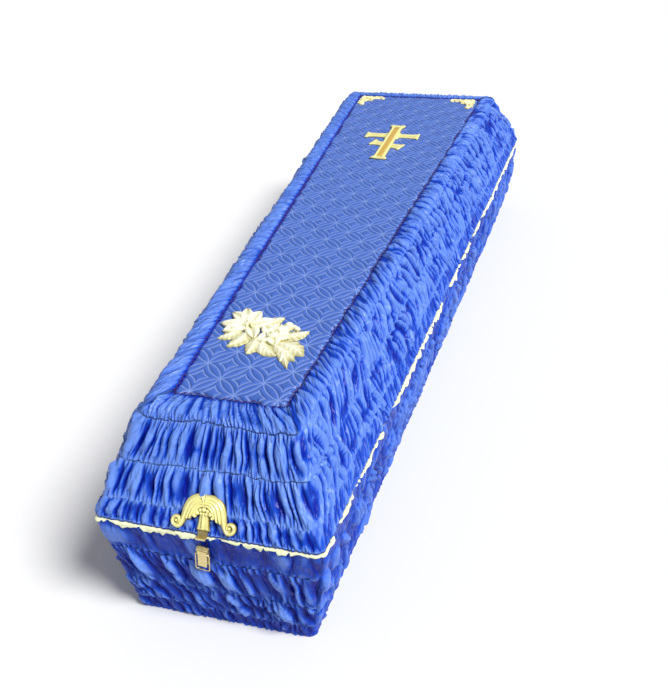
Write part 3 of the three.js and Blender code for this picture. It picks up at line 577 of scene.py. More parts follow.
def panel_points():
    """Rows of points over the panel, with its corners rounded, and their places in its plan."""
    rows = round((PANEL.head_y - PANEL.foot_y) / PANEL_SPACING)
    columns = round(2 * PANEL.head_half / PANEL_SPACING)
    b, a = np.meshgrid(np.linspace(-1, 1, rows), np.linspace(-1, 1, columns), indexing="ij")
    half_length = (PANEL.head_y - PANEL.foot_y) / 2
    mean_half = (PANEL.head_half + PANEL.foot_half) / 2
    half_width = mean_half + (PANEL.head_half - PANEL.foot_half) / 2 * b
    x, y = a * half_width, b * half_length
    # Points by a corner move on to its arc.
    from_x = np.clip((np.abs(x) - half_width + PANEL_CORNER) / PANEL_CORNER, 0, 1)
    from_y = np.clip((np.abs(y) - half_length + PANEL_CORNER) / PANEL_CORNER, 0, 1)
    x -= np.sign(x) * PANEL_CORNER * from_x * (1 - np.sqrt(1 - from_y ** 2 / 2))
    y -= np.sign(y) * PANEL_CORNER * from_y * (1 - np.sqrt(1 - from_x ** 2 / 2))
    margin = np.minimum((1 - np.abs(a)) * half_width, (1 - np.abs(b)) * half_length)
    middle_y = (PANEL.head_y + PANEL.foot_y) / 2
    by_side, by_end = edge_pull(x, y + middle_y)
    near = 1 - smoothstep(0, SCALLOP_REACH, margin)
    x -= np.sign(x) * by_side * near * (np.abs(a) > 0.5)
    y -= np.sign(y) * by_end * near * (np.abs(b) > 0.9)
    return x, y + middle_y, margin


def panel_quilting():
    x, y, margin = panel_points()
    seam = seam_distance(x, y)
    puff = 1 - (1 - np.clip(seam / PUFF_RUN, 0, 1)) ** PUFF_STEEPNESS
    edge = smoothstep(0, PANEL_EDGE_RUN, margin)
    waves = WAVE_HEIGHT * wander(71, x + 400, y / WAVE_RUN + 20, 800, WAVE_RUN)
    edge_z = LID_TOP + PANEL_EDGE_LIFT
    z = edge_z + (PANEL_TOP - edge_z - SEAM_DEPTH + SEAM_DEPTH * puff + waves) * edge
    rows, columns = x.shape
    points = np.stack([x, y, np.minimum(z, PANEL_TOP)], axis=-1).reshape(-1, 3)
    piece = add_piece(
        "panel_quilting", points, grid_faces(rows, columns, False), QUILTED_SATIN,
        ["quilted_panel"])
    return piece


THREAD_RADIUS = 0.8
THREAD_SIDES = 5
STITCH_PITCH = 14
STITCH_REACH = 4.2
STITCH_SINK = 2.0
STITCH_LIFT = 0.8


def panel_stitching():
    """Overlock thread in a zigzag over the seam between the panel and the ruched satin."""
    perimeter = 2 * (PANEL.head_y - PANEL.foot_y) + 2 * (PANEL.head_half + PANEL.foot_half)
    count = 2 * round(perimeter / STITCH_PITCH)
    places, outs = outline(PANEL, PANEL_CORNER, [400, 1600, 400, 1600], 12)
    run = run_along(gaps_round(places))
    places, outs = np.concatenate([places, places[:1]]), np.concatenate([outs, outs[:1]])
    at = np.arange(count) / count * run[-1]
    middle = np.stack([np.interp(at, run, places[:, k]) for k in (0, 1)], axis=1)
    out = np.stack([np.interp(at, run, outs[:, k]) for k in (0, 1)], axis=1)
    by_side, by_end = edge_pull(middle[:, 0], middle[:, 1])
    middle -= out * np.where(np.abs(out[:, 0]) > FACING, by_side, by_end)[:, None]
    draw = np.random.default_rng(5)
    reach = np.where(np.arange(count) % 2 == 0, 1.0, -0.6) * STITCH_REACH * draw.uniform(0.6, 1.2, count)
    z = PANEL_TOP - STITCH_SINK + draw.uniform(-STITCH_LIFT, STITCH_LIFT, count)
    centre = raised(middle + out * reach[:, None], z)
    ahead = unit(np.roll(centre, -1, axis=0) - np.roll(centre, 1, axis=0))
    side = unit(np.cross(ahead, [0, 0, 1.0]))
    above = np.cross(side, ahead)
    rings = []
    for turn in np.arange(THREAD_SIDES) * (2 * math.pi / THREAD_SIDES):
        rings.append(centre + THREAD_RADIUS * (side * math.cos(turn) + above * math.sin(turn)))
    faces = grid_faces(THREAD_SIDES + 1, count, True) % (THREAD_SIDES * count)
    return add_piece("panel_stitching", np.concatenate(rings), faces, OVERLOCK_THREAD)


# The lining and its ragged edge in the seam

LINING_LIFT = 1.6
# Over the rim: the cloth's height, where it bends down, and how far out it hangs
RIM_LIFT = 1.2
FLAP_BEND = 6
FLAP_REACH = 7
# How far the raw edge hangs below the seam: places from left to right on the foot's edge
FOOT_HANG = [
    (-232, 2), (-180, 5), (-170, 9), (-148, 8), (-138, 3), (-124, 4), (-120, 14), (-100, 16), (-84, 12),
    (-76, 8), (-50, 9), (-34, 7), (-26, 4), (45, 3.5), (52, 7), (70, 10), (100, 11), (112, 15),
    (120, 6), (160, 6), (200, 4), (232, 1),
]
# and from the foot to the head along a side, where it shows in stretches
SIDE_HANG = [
    (-1000, 3), (-985, 7), (-950, 6), (-935, 0), (-918, 0), (-905, 6), (-845, 7), (-838, 0), (-828, 0),
    (-815, 9), (-740, 11), (-665, 8), (-650, 0), (-580, 0), (-560, 8), (-450, 12), (-300, 14), (-180, 9),
    (-135, 0), (-70, 0), (-50, 9), (0, 13), (35, 0), (45, 8), (75, 0), (90, 12), (150, 9), (195, 0),
    (245, 8), (300, 13), (330, 0), (375, 8), (500, 12), (700, 12), (850, 10), (960, 5), (1000, 0),
]
SIDE_SHARE = 0.75
HEAD_SHARE = 0.7
# From the bend to the raw edge: how far out past FLAP_REACH, and the share of the hang
FLAP_ROWS = ((0, 0), (1.6, 0.04), (2.6, 0.2), (3.2, 0.45), (3.6, 0.72), (3.4, 1))


def hang_length(places, outs):
    """How far the lining's raw edge hangs at each place round the rim."""
    foot_x, foot_hang = zip(*FOOT_HANG)
    side_y, side_hang = zip(*SIDE_HANG)
    at_foot = np.interp(places[:, 0], foot_x, foot_hang)
    at_right = np.interp(places[:, 1], side_y, side_hang)
    at_left = np.interp(-places[:, 1], side_y, side_hang)
    at_head = np.interp(places[:, 0] * 3, side_y, side_hang)
    at_side = SIDE_SHARE * np.where(outs[:, 0] > 0, at_right, at_left)
    hang = np.where(outs[:, 1] < -FACING, at_foot, at_side)
    return np.where(outs[:, 1] > FACING, at_head * HEAD_SHARE, hang)


def lining_cloth():
    steps = edge_steps((3, 6, 8, 6))
    places, outs = outline(BOX_RIM, CORNER_RADIUS, steps, CORNER_STEPS)
    gaps = gaps_round(places)
    girth = gaps.sum()
    s = run_along(gaps)[:-1]
    hang = hang_length(places, outs)
    ragged = 0.45 * wander(301, s, s * 0, girth, 34) + 0.4 * wander(302, s, s * 0, girth, 15)
    ragged += 0.35 * wander(304, s, s * 0, girth, 6)
    hang = hang * np.clip(0.9 + ragged, 0.05, 1.6)
    shown = smoothstep(0.5, 3, hang)
    inner_rim = inset(BOX_RIM, WALL + LINING_LIFT)
    inner_base = inset(between(BOX_BASE, BOX_RIM, FLOOR / BOX_HEIGHT), WALL + LINING_LIFT)
    rows = []

    def row(plan, z, radius=CORNER_RADIUS):
        flat, _ = outline(plan, radius, steps, CORNER_STEPS)
        rows.append(raised(flat, z))

    for share in (140, 95, 50, 12):
        row(inset(inner_base, share), FLOOR + LINING_LIFT, 4)
    for share in (0, 0.03, 0.25, 0.5, 0.75, 0.97, 1):
        row(between(inner_base, inner_rim, share), FLOOR + 3 + (BOX_HEIGHT - FLOOR - 2) * share)
    for reach in (-WALL / 2, 0, FLAP_BEND):
        rows.append(raised(places + outs * reach, BOX_HEIGHT + RIM_LIFT))
    folds = wander(303, s, s * 0, girth, 17) * 2.4 + wander(305, s, s * 0, girth, 8) * 1.1
    for reach_out, drop in FLAP_ROWS:
        hung = drop * shown
        reach = FLAP_BEND + (FLAP_REACH + reach_out - FLAP_BEND) * shown + (0.14 * hang + folds) * hung
        z = BOX_HEIGHT + RIM_LIFT - (hang + 0.6 * folds) * hung
        rows.append(raised(places + outs * reach[:, None], z))
    points = np.array(rows)
    count, columns, _ = points.shape
    faces = [list(range(columns))] + grid_faces(count, columns, True).tolist()
    piece = add_piece(
        "lining_cloth", points.reshape(-1, 3), faces, COTTON, ["lining"])
    return piece


# Cast ornaments: closed forms with flat backs, each on a path with its own widths and heights

SLOPE_TURN = math.atan2(SLOPE_RISE, FOOT_SLOPE_RUN)
ORNAMENT_BASE = PANEL_TOP - 2.2
ACROSS = np.linspace(-1, 1, 11)


def smooth_path(points, count):
    """Points evenly along a smooth curve through the points given."""
    points = np.array(points, float)
    padded = np.concatenate([[2 * points[0] - points[1]], points, [2 * points[-1] - points[-2]]])
    curve = []
    for k in range(len(points) - 1):
        a, b, c, d = padded[k:k + 4]
        t = np.linspace(0, 1, 12, endpoint=k == len(points) - 2)[:, None]
        curve.append(0.5 * (2 * b + (c - a) * t + (2 * a - 5 * b + 4 * c - d) * t ** 2
                            + (3 * b - a - 3 * c + d) * t ** 3))
    curve = np.concatenate(curve)
    run = run_along(np.linalg.norm(np.diff(curve, axis=0), axis=1))
    even = np.linspace(0, run[-1], count)
    return np.stack([np.interp(even, run, curve[:, k]) for k in (0, 1)], axis=1)


def cast_form(path, half_width, height):
    """A closed form along a path. height has a row for each place and a column for each of ACROSS."""
    along = unit(np.gradient(path, axis=0))
    side = np.stack([along[:, 1], -along[:, 0]], axis=1)
    offset = side[:, None] * (half_width[:, None] * ACROSS)[..., None]
    top = np.concatenate([path[:, None] + offset, height[..., None]], axis=2)
    back = top[:, [-1, 0]] * [1, 1, 0]
    rings = np.concatenate([top, back], axis=1)
    count, size, _ = rings.shape
    faces = grid_faces(count, size, True).tolist()
    faces.append(list(range(size))[::-1])
    faces.append([(count - 1) * size + k for k in range(size)])
    return rings.reshape(-1, 3), faces


def round_section(edge=0.25):
    return edge + (1 - edge) * np.sqrt(np.clip(1 - ACROSS ** 2, 0, 1))


def bowed_path(start, tip, bow, count):
    """A path from start to tip, whose middle is bow to one side, and how far along each point is."""
    start, tip = np.array(start, float), np.array(tip, float)
    across = np.array([start[1] - tip[1], tip[0] - start[0]]) / np.linalg.norm(tip - start)
    path = smooth_path([start, (start + tip) / 2 + across * bow, tip], count)
    return path, np.linspace(0.02, 0.985, count)


def petal(start, tip, width, rise, bow=0.0, count=12):
    """A petal with a groove along its middle, lifted edges and a tip that dips."""
    path, t = bowed_path(start, tip, bow, count)
    half = width / 2 * np.sin(np.pi * t ** 0.85) ** 0.75
    section = 0.75 + 0.25 * np.abs(ACROSS) ** 1.5 - 0.32 * np.exp(-(ACROSS / 0.2) ** 2)
    section = section - 0.35 * np.clip(np.abs(ACROSS) - 0.8, 0, 1) * 5
    lift = rise * (0.55 + 0.45 * np.sin(np.pi * t ** 1.2))
    return cast_form(path, half, lift[:, None] * section[None])


def veined_leaf(start, tip, width, rise, bow=0.0, count=22, teeth=6):
    """A leaf with a toothed edge, a middle rib and slanting side ribs."""
    path, t = bowed_path(start, tip, bow, count)
    saw = np.mod(t * teeth, 1)
    half = width / 2 * np.sin(np.pi * t ** 0.8) ** 0.8 * (0.86 + 0.2 * saw)
    ribs = 0.14 * np.cos(2 * np.pi * (t[:, None] * teeth - 0.9 * np.abs(ACROSS)[None]))
    section = 0.8 - 0.45 * np.abs(ACROSS) ** 1.3 + 0.2 * np.exp(-(ACROSS / 0.12) ** 2)
    lift = rise * (0.6 + 0.4 * np.sin(np.pi * t))
    return cast_form(path, half, lift[:, None] * (section[None] + ribs))


def strand(points, widths, rise, grooves=0, count=26):
    """A rounded strand through points, with its width at even steps, grooves and a thin tip."""
    path = smooth_path(points, count)
    t = np.linspace(0, 1, count)
    half = np.interp(t, np.linspace(0, 1, len(widths)), widths) / 2
    section = round_section() * (1 - 0.14 * (1 - np.cos(np.pi * ACROSS * grooves)) * (grooves > 0))
    ends = np.clip(np.minimum(4 * t, 1 - t) * 12, 0.35, 1)
    return cast_form(path, half, rise * ends[:, None] * section[None])


def bead(x, y, radius, rise, squash=1.0, count=9):
    t = np.linspace(-0.985, 0.985, count)
    path = np.stack([x + radius * t * squash, np.full(count, float(y))], axis=1)
    dome = np.sqrt(1 - t ** 2)
    return cast_form(path, radius * dome, rise * (0.2 + 0.8 * dome[:, None] * round_section(0)[None]))


def spiral(x, y, outer, inner, start, turns, count=18):
    turn = np.radians(start) + np.linspace(0, 2 * np.pi * turns, count)
    radius = np.linspace(outer, inner, count)
    return [(x + r * math.cos(a), y + r * math.sin(a)) for r, a in zip(radius, turn)]


def mirrored(forms):
    return [(points * [-1, 1, 1], [face[::-1] for face in faces]) for points, faces in forms]


def cast_piece(name, forms, material, node, move):
    """One piece from several closed forms. move places their points in the part's frame."""
    points, faces, relief, first = [], [], [], 0
    for form_points, form_faces in forms:
        points.append(form_points)
        # Each point keeps its height as a share of its form's, which sets the painted shade of the recesses.
        relief.append(form_points[:, 2] / form_points[:, 2].max())
        faces += [[first + k for k in face] for face in form_faces]
        first += len(form_points)
    piece = add_piece(name, move(np.concatenate(points)), faces, material, [node] if node else [])
    height = piece.data.attributes.new("relief", "FLOAT", "POINT")
    height.data.foreach_set("value", np.concatenate(relief))
    return piece


def on_panel(x, y):
    return lambda points: points + [x, y, ORNAMENT_BASE]


SPRAY_X = -6
SPRAY_Y = -612
SPRAY_UNIT = 2.36
PETAL_WIDTH = 13
STAMEN_LENGTH = 5.5
LILY = (-19, 13)
LILY_PETALS = [(-31, 39), (-42, 30), (-46, 12), (-39, 0), (-16, 36), (2, 25), (-8, -5)]
ROSE = (8, 2)
ROSE_PETALS = [(-6, 16), (8, 20), (19, 15), (24, 2), (14, -12), (-4, -8)]
# Leaves of the spray: where each springs from, its tip, its width and its bow
SPRAY_LEAVES = [
    (-17, 5, -27, -20, 17, 3), (-6, -2, -6, -27, 17, 2), (2, -6, 6, -25, 12, -1), (16, 2, 37, 14, 15, -2),
    (14, -8, 43, -21, 20, 3), (14, -10, 38, -29, 14, 0), (10, -8, 35, -40, 10, 3), (22, -18, 26, -32, 10, 2),
    (2, -8, 20, -25, 14, -4), (-4, 14, 8, 31, 14, 2), (-24, 6, -40, -10, 13, 2), (10, 14, 24, 20, 13, 1),
]


def flower_spray():
    """A lily and a rose among leaves, cast in one."""
    scale = SPRAY_UNIT
    lily, rose = np.array(LILY) * scale, np.array(ROSE) * scale
    forms = []
    for *places, width, bow in SPRAY_LEAVES:
        x, y, tip_x, tip_y = np.array(places) * scale
        forms.append(veined_leaf((x, y), (tip_x, tip_y), width * scale, 9, bow * scale))
    for k, tip in enumerate(LILY_PETALS):
        forms.append(petal(lily, np.array(tip) * scale, PETAL_WIDTH * scale, 13, 2.5 * (-1) ** k))
    for tip in ROSE_PETALS:
        forms.append(petal(rose, np.array(tip) * scale, PETAL_WIDTH * scale, 12.5))
    forms.append(strand(spiral(*rose, 15, 10, 20, 0.95), (4, 6, 6, 4), 15))
    forms.append(strand(spiral(*rose, 10, 5, 200, 0.95), (3, 5, 5, 3), 16.5))
    forms.append(strand(spiral(*rose, 4.5, 1.5, 90, 1), (2, 3, 3, 2), 17))
    for angle in range(0, 360, 60):
        a = math.radians(angle + 20)
        tip = lily + STAMEN_LENGTH * scale * np.array([math.cos(a), math.sin(a)])
        forms.append(strand([lily, tip], (1.6, 1.6, 2.6), 15, count=8))
    forms.append(bead(16 * scale, 21 * scale, 7, 10, 1.4))
    forms.append(bead(25 * scale, 16 * scale, 6, 9, 1.3))
    return cast_piece(
        "flower_casting", forms, PALE_GILT, "flower_spray", on_panel(SPRAY_X, SPRAY_Y))


CROSS_X = -6
CROSS_FOOT_Y = PANEL.head_y - 569
CROSS_LENGTH = 270
CROSS_WIDTH = 35
BAR_WIDTH = 28
CROSS_FLARE = 5
CROSS_BAR = 172
CROSS_BAR_Y = 188
CROSS_STEP = 106
CROSS_STEP_Y = 113
CROSS_STEP_TILT = -18
CROSS_PLATE = 46
CROSS_HEIGHT = 8
# Heights as shares of the upright's: of the bars, of the plate and of the stripe
BAR_SHARE = 0.72
PLATE_SHARE = 0.65
STRIPE_SHARE = 0.82
STRIPE_HALF_WIDTH = 7.6


def flared_bar(length, width, turn, x, y, rise, sunk, count=44):
    """A bar with flared ends, raised rims and a sunk middle over a share of its width.

    turn is in degrees."""
    t = np.linspace(-0.5, 0.5, count)
    a = math.radians(turn)
    path = np.stack([x + t * length * math.cos(a), y + t * length * math.sin(a)], axis=1)
    from_end = (0.5 - np.abs(t)) * length
    half = width / 2 + CROSS_FLARE * (1 - smoothstep(0, 26, from_end)) + 2.5 * (from_end < 7)
    rim = np.where(np.abs(ACROSS) > 0.9, 0.55, np.where(np.abs(ACROSS) > sunk, 1.0, 0.62))
    capped = smoothstep(8, 14, from_end)[:, None]
    return cast_form(path, half, rise * (rim[None] * capped + (1 - capped) * np.maximum(rim, 0.9)[None]))


def cross_casting():
    """Barred arms with bright rims, a plate where they cross, and a matt stripe sunk in the upright."""
    plate = CROSS_PLATE / 2
    plate_path = np.array([(-plate, CROSS_BAR_Y), (0, CROSS_BAR_Y), (plate, CROSS_BAR_Y)])
    bar = (CROSS_HEIGHT * BAR_SHARE, 0.3)
    forms = [
        flared_bar(CROSS_LENGTH, CROSS_WIDTH, 90, 0, CROSS_LENGTH / 2, CROSS_HEIGHT, 0.5),
        flared_bar(CROSS_BAR, BAR_WIDTH, 0, 0, CROSS_BAR_Y, *bar),
        flared_bar(CROSS_STEP, BAR_WIDTH, CROSS_STEP_TILT, 0, CROSS_STEP_Y, *bar),
        cast_form(plate_path, np.full(3, plate), np.full((3, len(ACROSS)), CROSS_HEIGHT * PLATE_SHARE)),
    ]
    move = on_panel(CROSS_X, CROSS_FOOT_Y)
    cast_piece("cross_casting", forms, GILT, "cross", move)
    ends = smooth_path([(0, 22), (0, CROSS_LENGTH - 16)], 12)
    stripe = cast_form(
        ends, np.full(12, STRIPE_HALF_WIDTH), np.full((12, len(ACROSS)), CROSS_HEIGHT * STRIPE_SHARE))
    return cast_piece("cross_stripe", [stripe], OCHRE, None, move)


CORNER_INSET = 14
CORNER_UNIT = 8.8


def corner_forms():
    """Two scrolled arms with lobes and a boss, their outer corner at the origin."""
    scale = CORNER_UNIT

    def turned(points, swapped):
        flat = [(y, x) if swapped else (x, y) for x, y in points]
        return [(-x * scale, -y * scale) for x, y in flat]

    forms = [petal((-0.8 * scale, -0.8 * scale), (-5.4 * scale, -5.2 * scale), 4.2 * scale, 6)]
    for swapped in (False, True):
        back = [(0.9, 1.5), (3, 1.9), (5.5, 2.1), (8.6, 1.9)]
        forms.append(strand(turned(back, swapped), (20, 26, 22, 12), 3.4))
        arm = [(0.7, 1.6), (3, 1.1), (5.2, 1.7), (7.2, 1.2), (9.3, 1.5), (9.9, 2.5), (9.1, 3.1), (8.5, 2.4)]
        forms.append(strand(turned(arm, swapped), (9, 14, 17, 14, 12, 8, 6, 5), 6.4, 2))
        curl = [(2.6, 1.8), (3.6, 3.1), (5.1, 3.6), (6.2, 2.9), (5.6, 2.2)]
        forms.append(strand(turned(curl, swapped), (6, 8, 8, 6, 5), 7))
        for x, y, radius in ((1.9, 0.7, 5.5), (4.1, 0.5, 5), (6.3, 0.6, 5), (8.2, 0.6, 4.5), (9.0, 2.5, 4)):
            (bx, by), = turned([(x, y)], swapped)
            forms.append(bead(bx, by, radius, 5.5))
    for radius, rise in ((10, 6.5), (4.5, 8.4)):
        forms.append(bead(-1.3 * scale, -1.3 * scale, radius, rise))
    return forms


def corner_ornaments():
    x, y = PANEL.head_half - CORNER_INSET, PANEL.head_y - CORNER_INSET
    for side, forms in (("right", corner_forms()), ("left", mirrored(corner_forms()))):
        sign = 1 if side == "right" else -1
        cast_piece(
            "corner_casting_" + side, forms, LIGHT_GILT, "corner_ornament_" + side,
            on_panel(sign * x, y))


SCROLL_UNIT = 1.18
SCROLL_BASE = 14
SCROLL_LIFT = 0.8
# The right half's inner strands, from the outermost one in: points, widths, height and grooves
SCROLL_STRANDS = [
    (
        [(-1, 43), (6, 46), (14, 44), (20, 38.5), (24, 30), (27, 20), (29, 12)],
        (7, 10, 12, 12, 11, 8, 3), 9.5, 1,
    ),
    (
        [(-1, 41), (5, 42.5), (11, 40.5), (16, 35.5), (19.5, 28), (22, 20), (23.5, 14)],
        (6, 8, 10, 10, 9, 7, 3), 10.5, 1,
    ),
    ([(-1, 38.5), (5, 38.5), (9.5, 36.5), (13, 32.5), (16, 26), (18, 19)], (5, 7, 8, 8, 7, 3), 9.5, 0),
    ([(0.5, 42), (2.5, 48), (5, 53.5)], (2.5, 6, 6), 10.5, 0),
]
# Beads on the right half, and strands on the middle line
SCROLL_BEADS = ((6, 31.5, 4.2), (11, 27, 5.2), (4.5, 26.5, 3.4), (14.5, 21.5, 3.8), (44, 10.5, 3.2))
SCROLL_MIDDLE = [
    ([(0, 27), (0, 38), (0, 50)], (30, 46, 30), 4, 0),
    ([(0, 29), (0, 19), (0, 9), (0, 0)], (17, 21, 22, 27), 6.5, 3),
    ([(0, 27), (0, 16), (0, 5)], (4, 6, 4), 8.5, 0),
]


def scroll_plate():
    """A palmette whose strands sweep out to two volutes, over a cluster of beads and a tongue."""
    def scaled(points):
        return [(x * SCROLL_UNIT, y * SCROLL_UNIT) for x, y in points]

    outer = [(-3, 49), (7, 50.5), (16, 48.5), (24, 42.5), (29, 33), (32, 22), (35, 11)]
    curl = spiral(44, 10.5, 8.5, 1.8, -118, 1.45, 16)
    widths = (10, 13, 15, 15, 14, 12, 10, 9, 8, 7, 5, 4)
    half = [strand(scaled(outer + curl), widths, 8.5, 2, 64)]
    for points, widths, rise, grooves in SCROLL_STRANDS:
        half.append(strand(scaled(points), widths, rise, grooves))
    for x, y, radius in SCROLL_BEADS:
        half.append(bead(x * SCROLL_UNIT, y * SCROLL_UNIT, radius, 9.5))
    back, *front = [
        strand(scaled(points), widths, rise, grooves)
        for points, widths, rise, grooves in SCROLL_MIDDLE
    ]
    crest = petal(*scaled([(0, 41), (0, 57)]), 10, 10.5)
    forms = half + mirrored(half) + [back, crest, bead(0, 33 * SCROLL_UNIT, 5, 10.5)] + front

    def move(points):
        up = np.array([0, math.cos(SLOPE_TURN), math.sin(SLOPE_TURN)])
        out = np.array([0, -math.sin(SLOPE_TURN), math.cos(SLOPE_TURN)])
        start = np.array([0, RIM.foot_y, LID_BASE]) + up * SCROLL_BASE + out * SCROLL_LIFT
        return points[:, :1] * [1, 0, 0] + points[:, 1:2] * up + points[:, 2:] * out + start

    return cast_piece("scroll_casting", forms, GILT, "scroll_plate", move)


# Materials

def colour(code):
    """An sRGB hex value as linear red, green, blue and one."""
    parts = [int(code[k:k + 2], 16) / 255 for k in (1, 3, 5)]
    return [p / 12.92 if p <= 0.04045 else ((p + 0.055) / 1.055) ** 2.4 for p in parts] + [1.0]


def new_material(name):
    material = bpy.data.materials.new(name)
    material.use_nodes = True
    return material, material.node_tree, material.node_tree.nodes["Principled BSDF"]


def add_node(tree, kind, inputs=(), **settings):
    """A node with its settings, and with numbers or links for its inputs by name or number."""
    node = tree.nodes.new(kind)
    for name, value in settings.items():
        setattr(node, name, value)
    for name, value in dict(inputs).items():
        if isinstance(value, bpy.types.NodeSocket):
            tree.links.new(value, node.inputs[name])
        else:
            node.inputs[name].default_value = value
    return node


def mottle(tree, vector, scale, detail, dark, light):
    """A colour between two, in patches of 1 / scale metres, and the noise that makes the patches."""
    patches = add_node(tree, "ShaderNodeTexNoise", {"Vector": vector, "Scale": scale, "Detail": detail})
    mixed = add_node(tree, "ShaderNodeMix", {
        "Factor": patches.outputs["Fac"], 6: colour(dark), 7: colour(light)}, data_type="RGBA")
    return mixed.outputs[2], patches.outputs["Fac"]


def woven_satin(name, painted_valley_shade, slub, cloth, ridge, roughness):
    """Polyester satin: long floats of filament yarn give broad, soft, pale highlights.

    The colour is paler on the ridges of the folds, a painted highlight, and darker deep in the folds,
    painted shade."""
    material, tree, shader = new_material(name)
    place = add_node(tree, "ShaderNodeTexCoord").outputs["Object"]
    # Slubs and tension marks, about 60 mm across
    cloudy, _ = mottle(tree, place, 16.0, 3.0, slub, cloth)
    # Painted light from how deep each point lies in a fold: ridges take the ridge colour as a painted
    # highlight, and deep folds take the valley colour as painted shade.
    painted_shade = add_node(tree, "ShaderNodeAttribute", attribute_name="painted_fold_shade")
    top = add_node(tree, "ShaderNodeMapRange", {"Value": painted_shade.outputs["Fac"], "From Max": 0.45})
    low = add_node(tree, "ShaderNodeMapRange", {
        "Value": painted_shade.outputs["Fac"], "From Min": 0.3, "From Max": 0.95})
    stretched = add_node(tree, "ShaderNodeMix", {
        "Factor": top.outputs["Result"], 6: colour(ridge), 7: cloudy}, data_type="RGBA")
    with_painted_light = add_node(tree, "ShaderNodeMix", {
        "Factor": low.outputs["Result"], 6: stretched.outputs[2], 7: colour(painted_valley_shade)}, data_type="RGBA")
    tree.links.new(with_painted_light.outputs[2], shader.inputs["Base Color"])
    # Soft creases, about 18 mm apart and 45 mm long, which run with the folds
    spot = add_node(tree, "ShaderNodeAttribute", attribute_name="cloth_place")
    long = add_node(tree, "ShaderNodeMapping", {
        "Vector": spot.outputs["Vector"], "Scale": (0.055, 0.022, 1.0)})
    creases = add_node(tree, "ShaderNodeTexNoise", {
        "Vector": long.outputs[0], "Scale": 1.0, "Detail": 2.2, "Distortion": 0.5})
    sharp = add_node(tree, "ShaderNodeMath", {0: creases.outputs["Fac"], 1: 0.5}, operation="SUBTRACT")
    crest = add_node(tree, "ShaderNodeMath", {0: sharp.outputs[0]}, operation="ABSOLUTE")
    # The real threads are 0.1 mm apart. They are drawn 1 mm apart, so that they show.
    weave = add_node(tree, "ShaderNodeTexNoise", {"Vector": place, "Scale": 900.0, "Detail": 1.0})
    rough = add_node(tree, "ShaderNodeMapRange", {
        "Value": creases.outputs["Fac"], "From Min": 0.3, "From Max": 0.7,
        "To Min": roughness - 0.05, "To Max": roughness + 0.06})
    tree.links.new(rough.outputs["Result"], shader.inputs["Roughness"])
    fold = add_node(tree, "ShaderNodeBump", {
        "Height": crest.outputs[0], "Strength": 1.0, "Distance": 0.006}, invert=True)
    # Crisp facets between creases, about 12 mm across and 30 mm long
    bent = add_node(tree, "ShaderNodeVectorMath", {
        0: creases.outputs["Color"], 1: long.outputs[0]}, operation="ADD")
    facets = add_node(tree, "ShaderNodeTexVoronoi", {
        "Vector": bent.outputs[0], "Scale": 1.6}, voronoi_dimensions="2D")
    facet = add_node(tree, "ShaderNodeBump", {
        "Height": facets.outputs["Distance"], "Strength": 1.0, "Distance": 0.004,
        "Normal": fold.outputs["Normal"]})
    thread = add_node(tree, "ShaderNodeBump", {
        "Height": weave.outputs["Fac"], "Strength": 0.15, "Distance": 0.0003,
        "Normal": facet.outputs["Normal"]})
    tree.links.new(thread.outputs["Normal"], shader.inputs["Normal"])
    shader.inputs["IOR"].default_value = 1.5
    shader.inputs["Specular IOR Level"].default_value = 0.18
    return material


def quilted_satin():
    """The same satin, stitched on thin wadding: flatter light, and thin pale lines of painted highlight on
    the seams.
    """
    material, tree, shader = new_material("quilted_polyester_satin")
    place = add_node(tree, "ShaderNodeTexCoord").outputs["Object"]
    cloudy, _ = mottle(tree, place, 16.0, 3.0, "#3459AE", "#4369BF")
    away = seam_nodes(tree, place)
    # Within 2 mm of a seam the colour is paler: a painted highlight, as cloth pulled tight at a seam shines.
    painted_highlight_share = add_node(tree, "ShaderNodeMapRange", {
        "Value": away, "From Min": 0.0005, "From Max": 0.002, "To Min": 0.4, "To Max": 0.0})
    with_painted_highlight = add_node(tree, "ShaderNodeMix", {
        "Factor": painted_highlight_share.outputs["Result"], 6: cloudy, 7: colour("#A9BFF4")}, data_type="RGBA")
    tree.links.new(with_painted_highlight.outputs[2], shader.inputs["Base Color"])
    puff = add_node(tree, "ShaderNodeMapRange", {
        "Value": away, "From Min": 0.0, "From Max": 0.006}, interpolation_type="SMOOTHSTEP")
    bump = add_node(tree, "ShaderNodeBump", {
        "Height": puff.outputs["Result"], "Strength": 0.8, "Distance": 0.0017})
    tree.links.new(bump.outputs["Normal"], shader.inputs["Normal"])
    shader.inputs["Roughness"].default_value = 0.46
    shader.inputs["Sheen Weight"].default_value = 0.08
    shader.inputs["Sheen Tint"].default_value = colour("#BFD0FF")
    return material


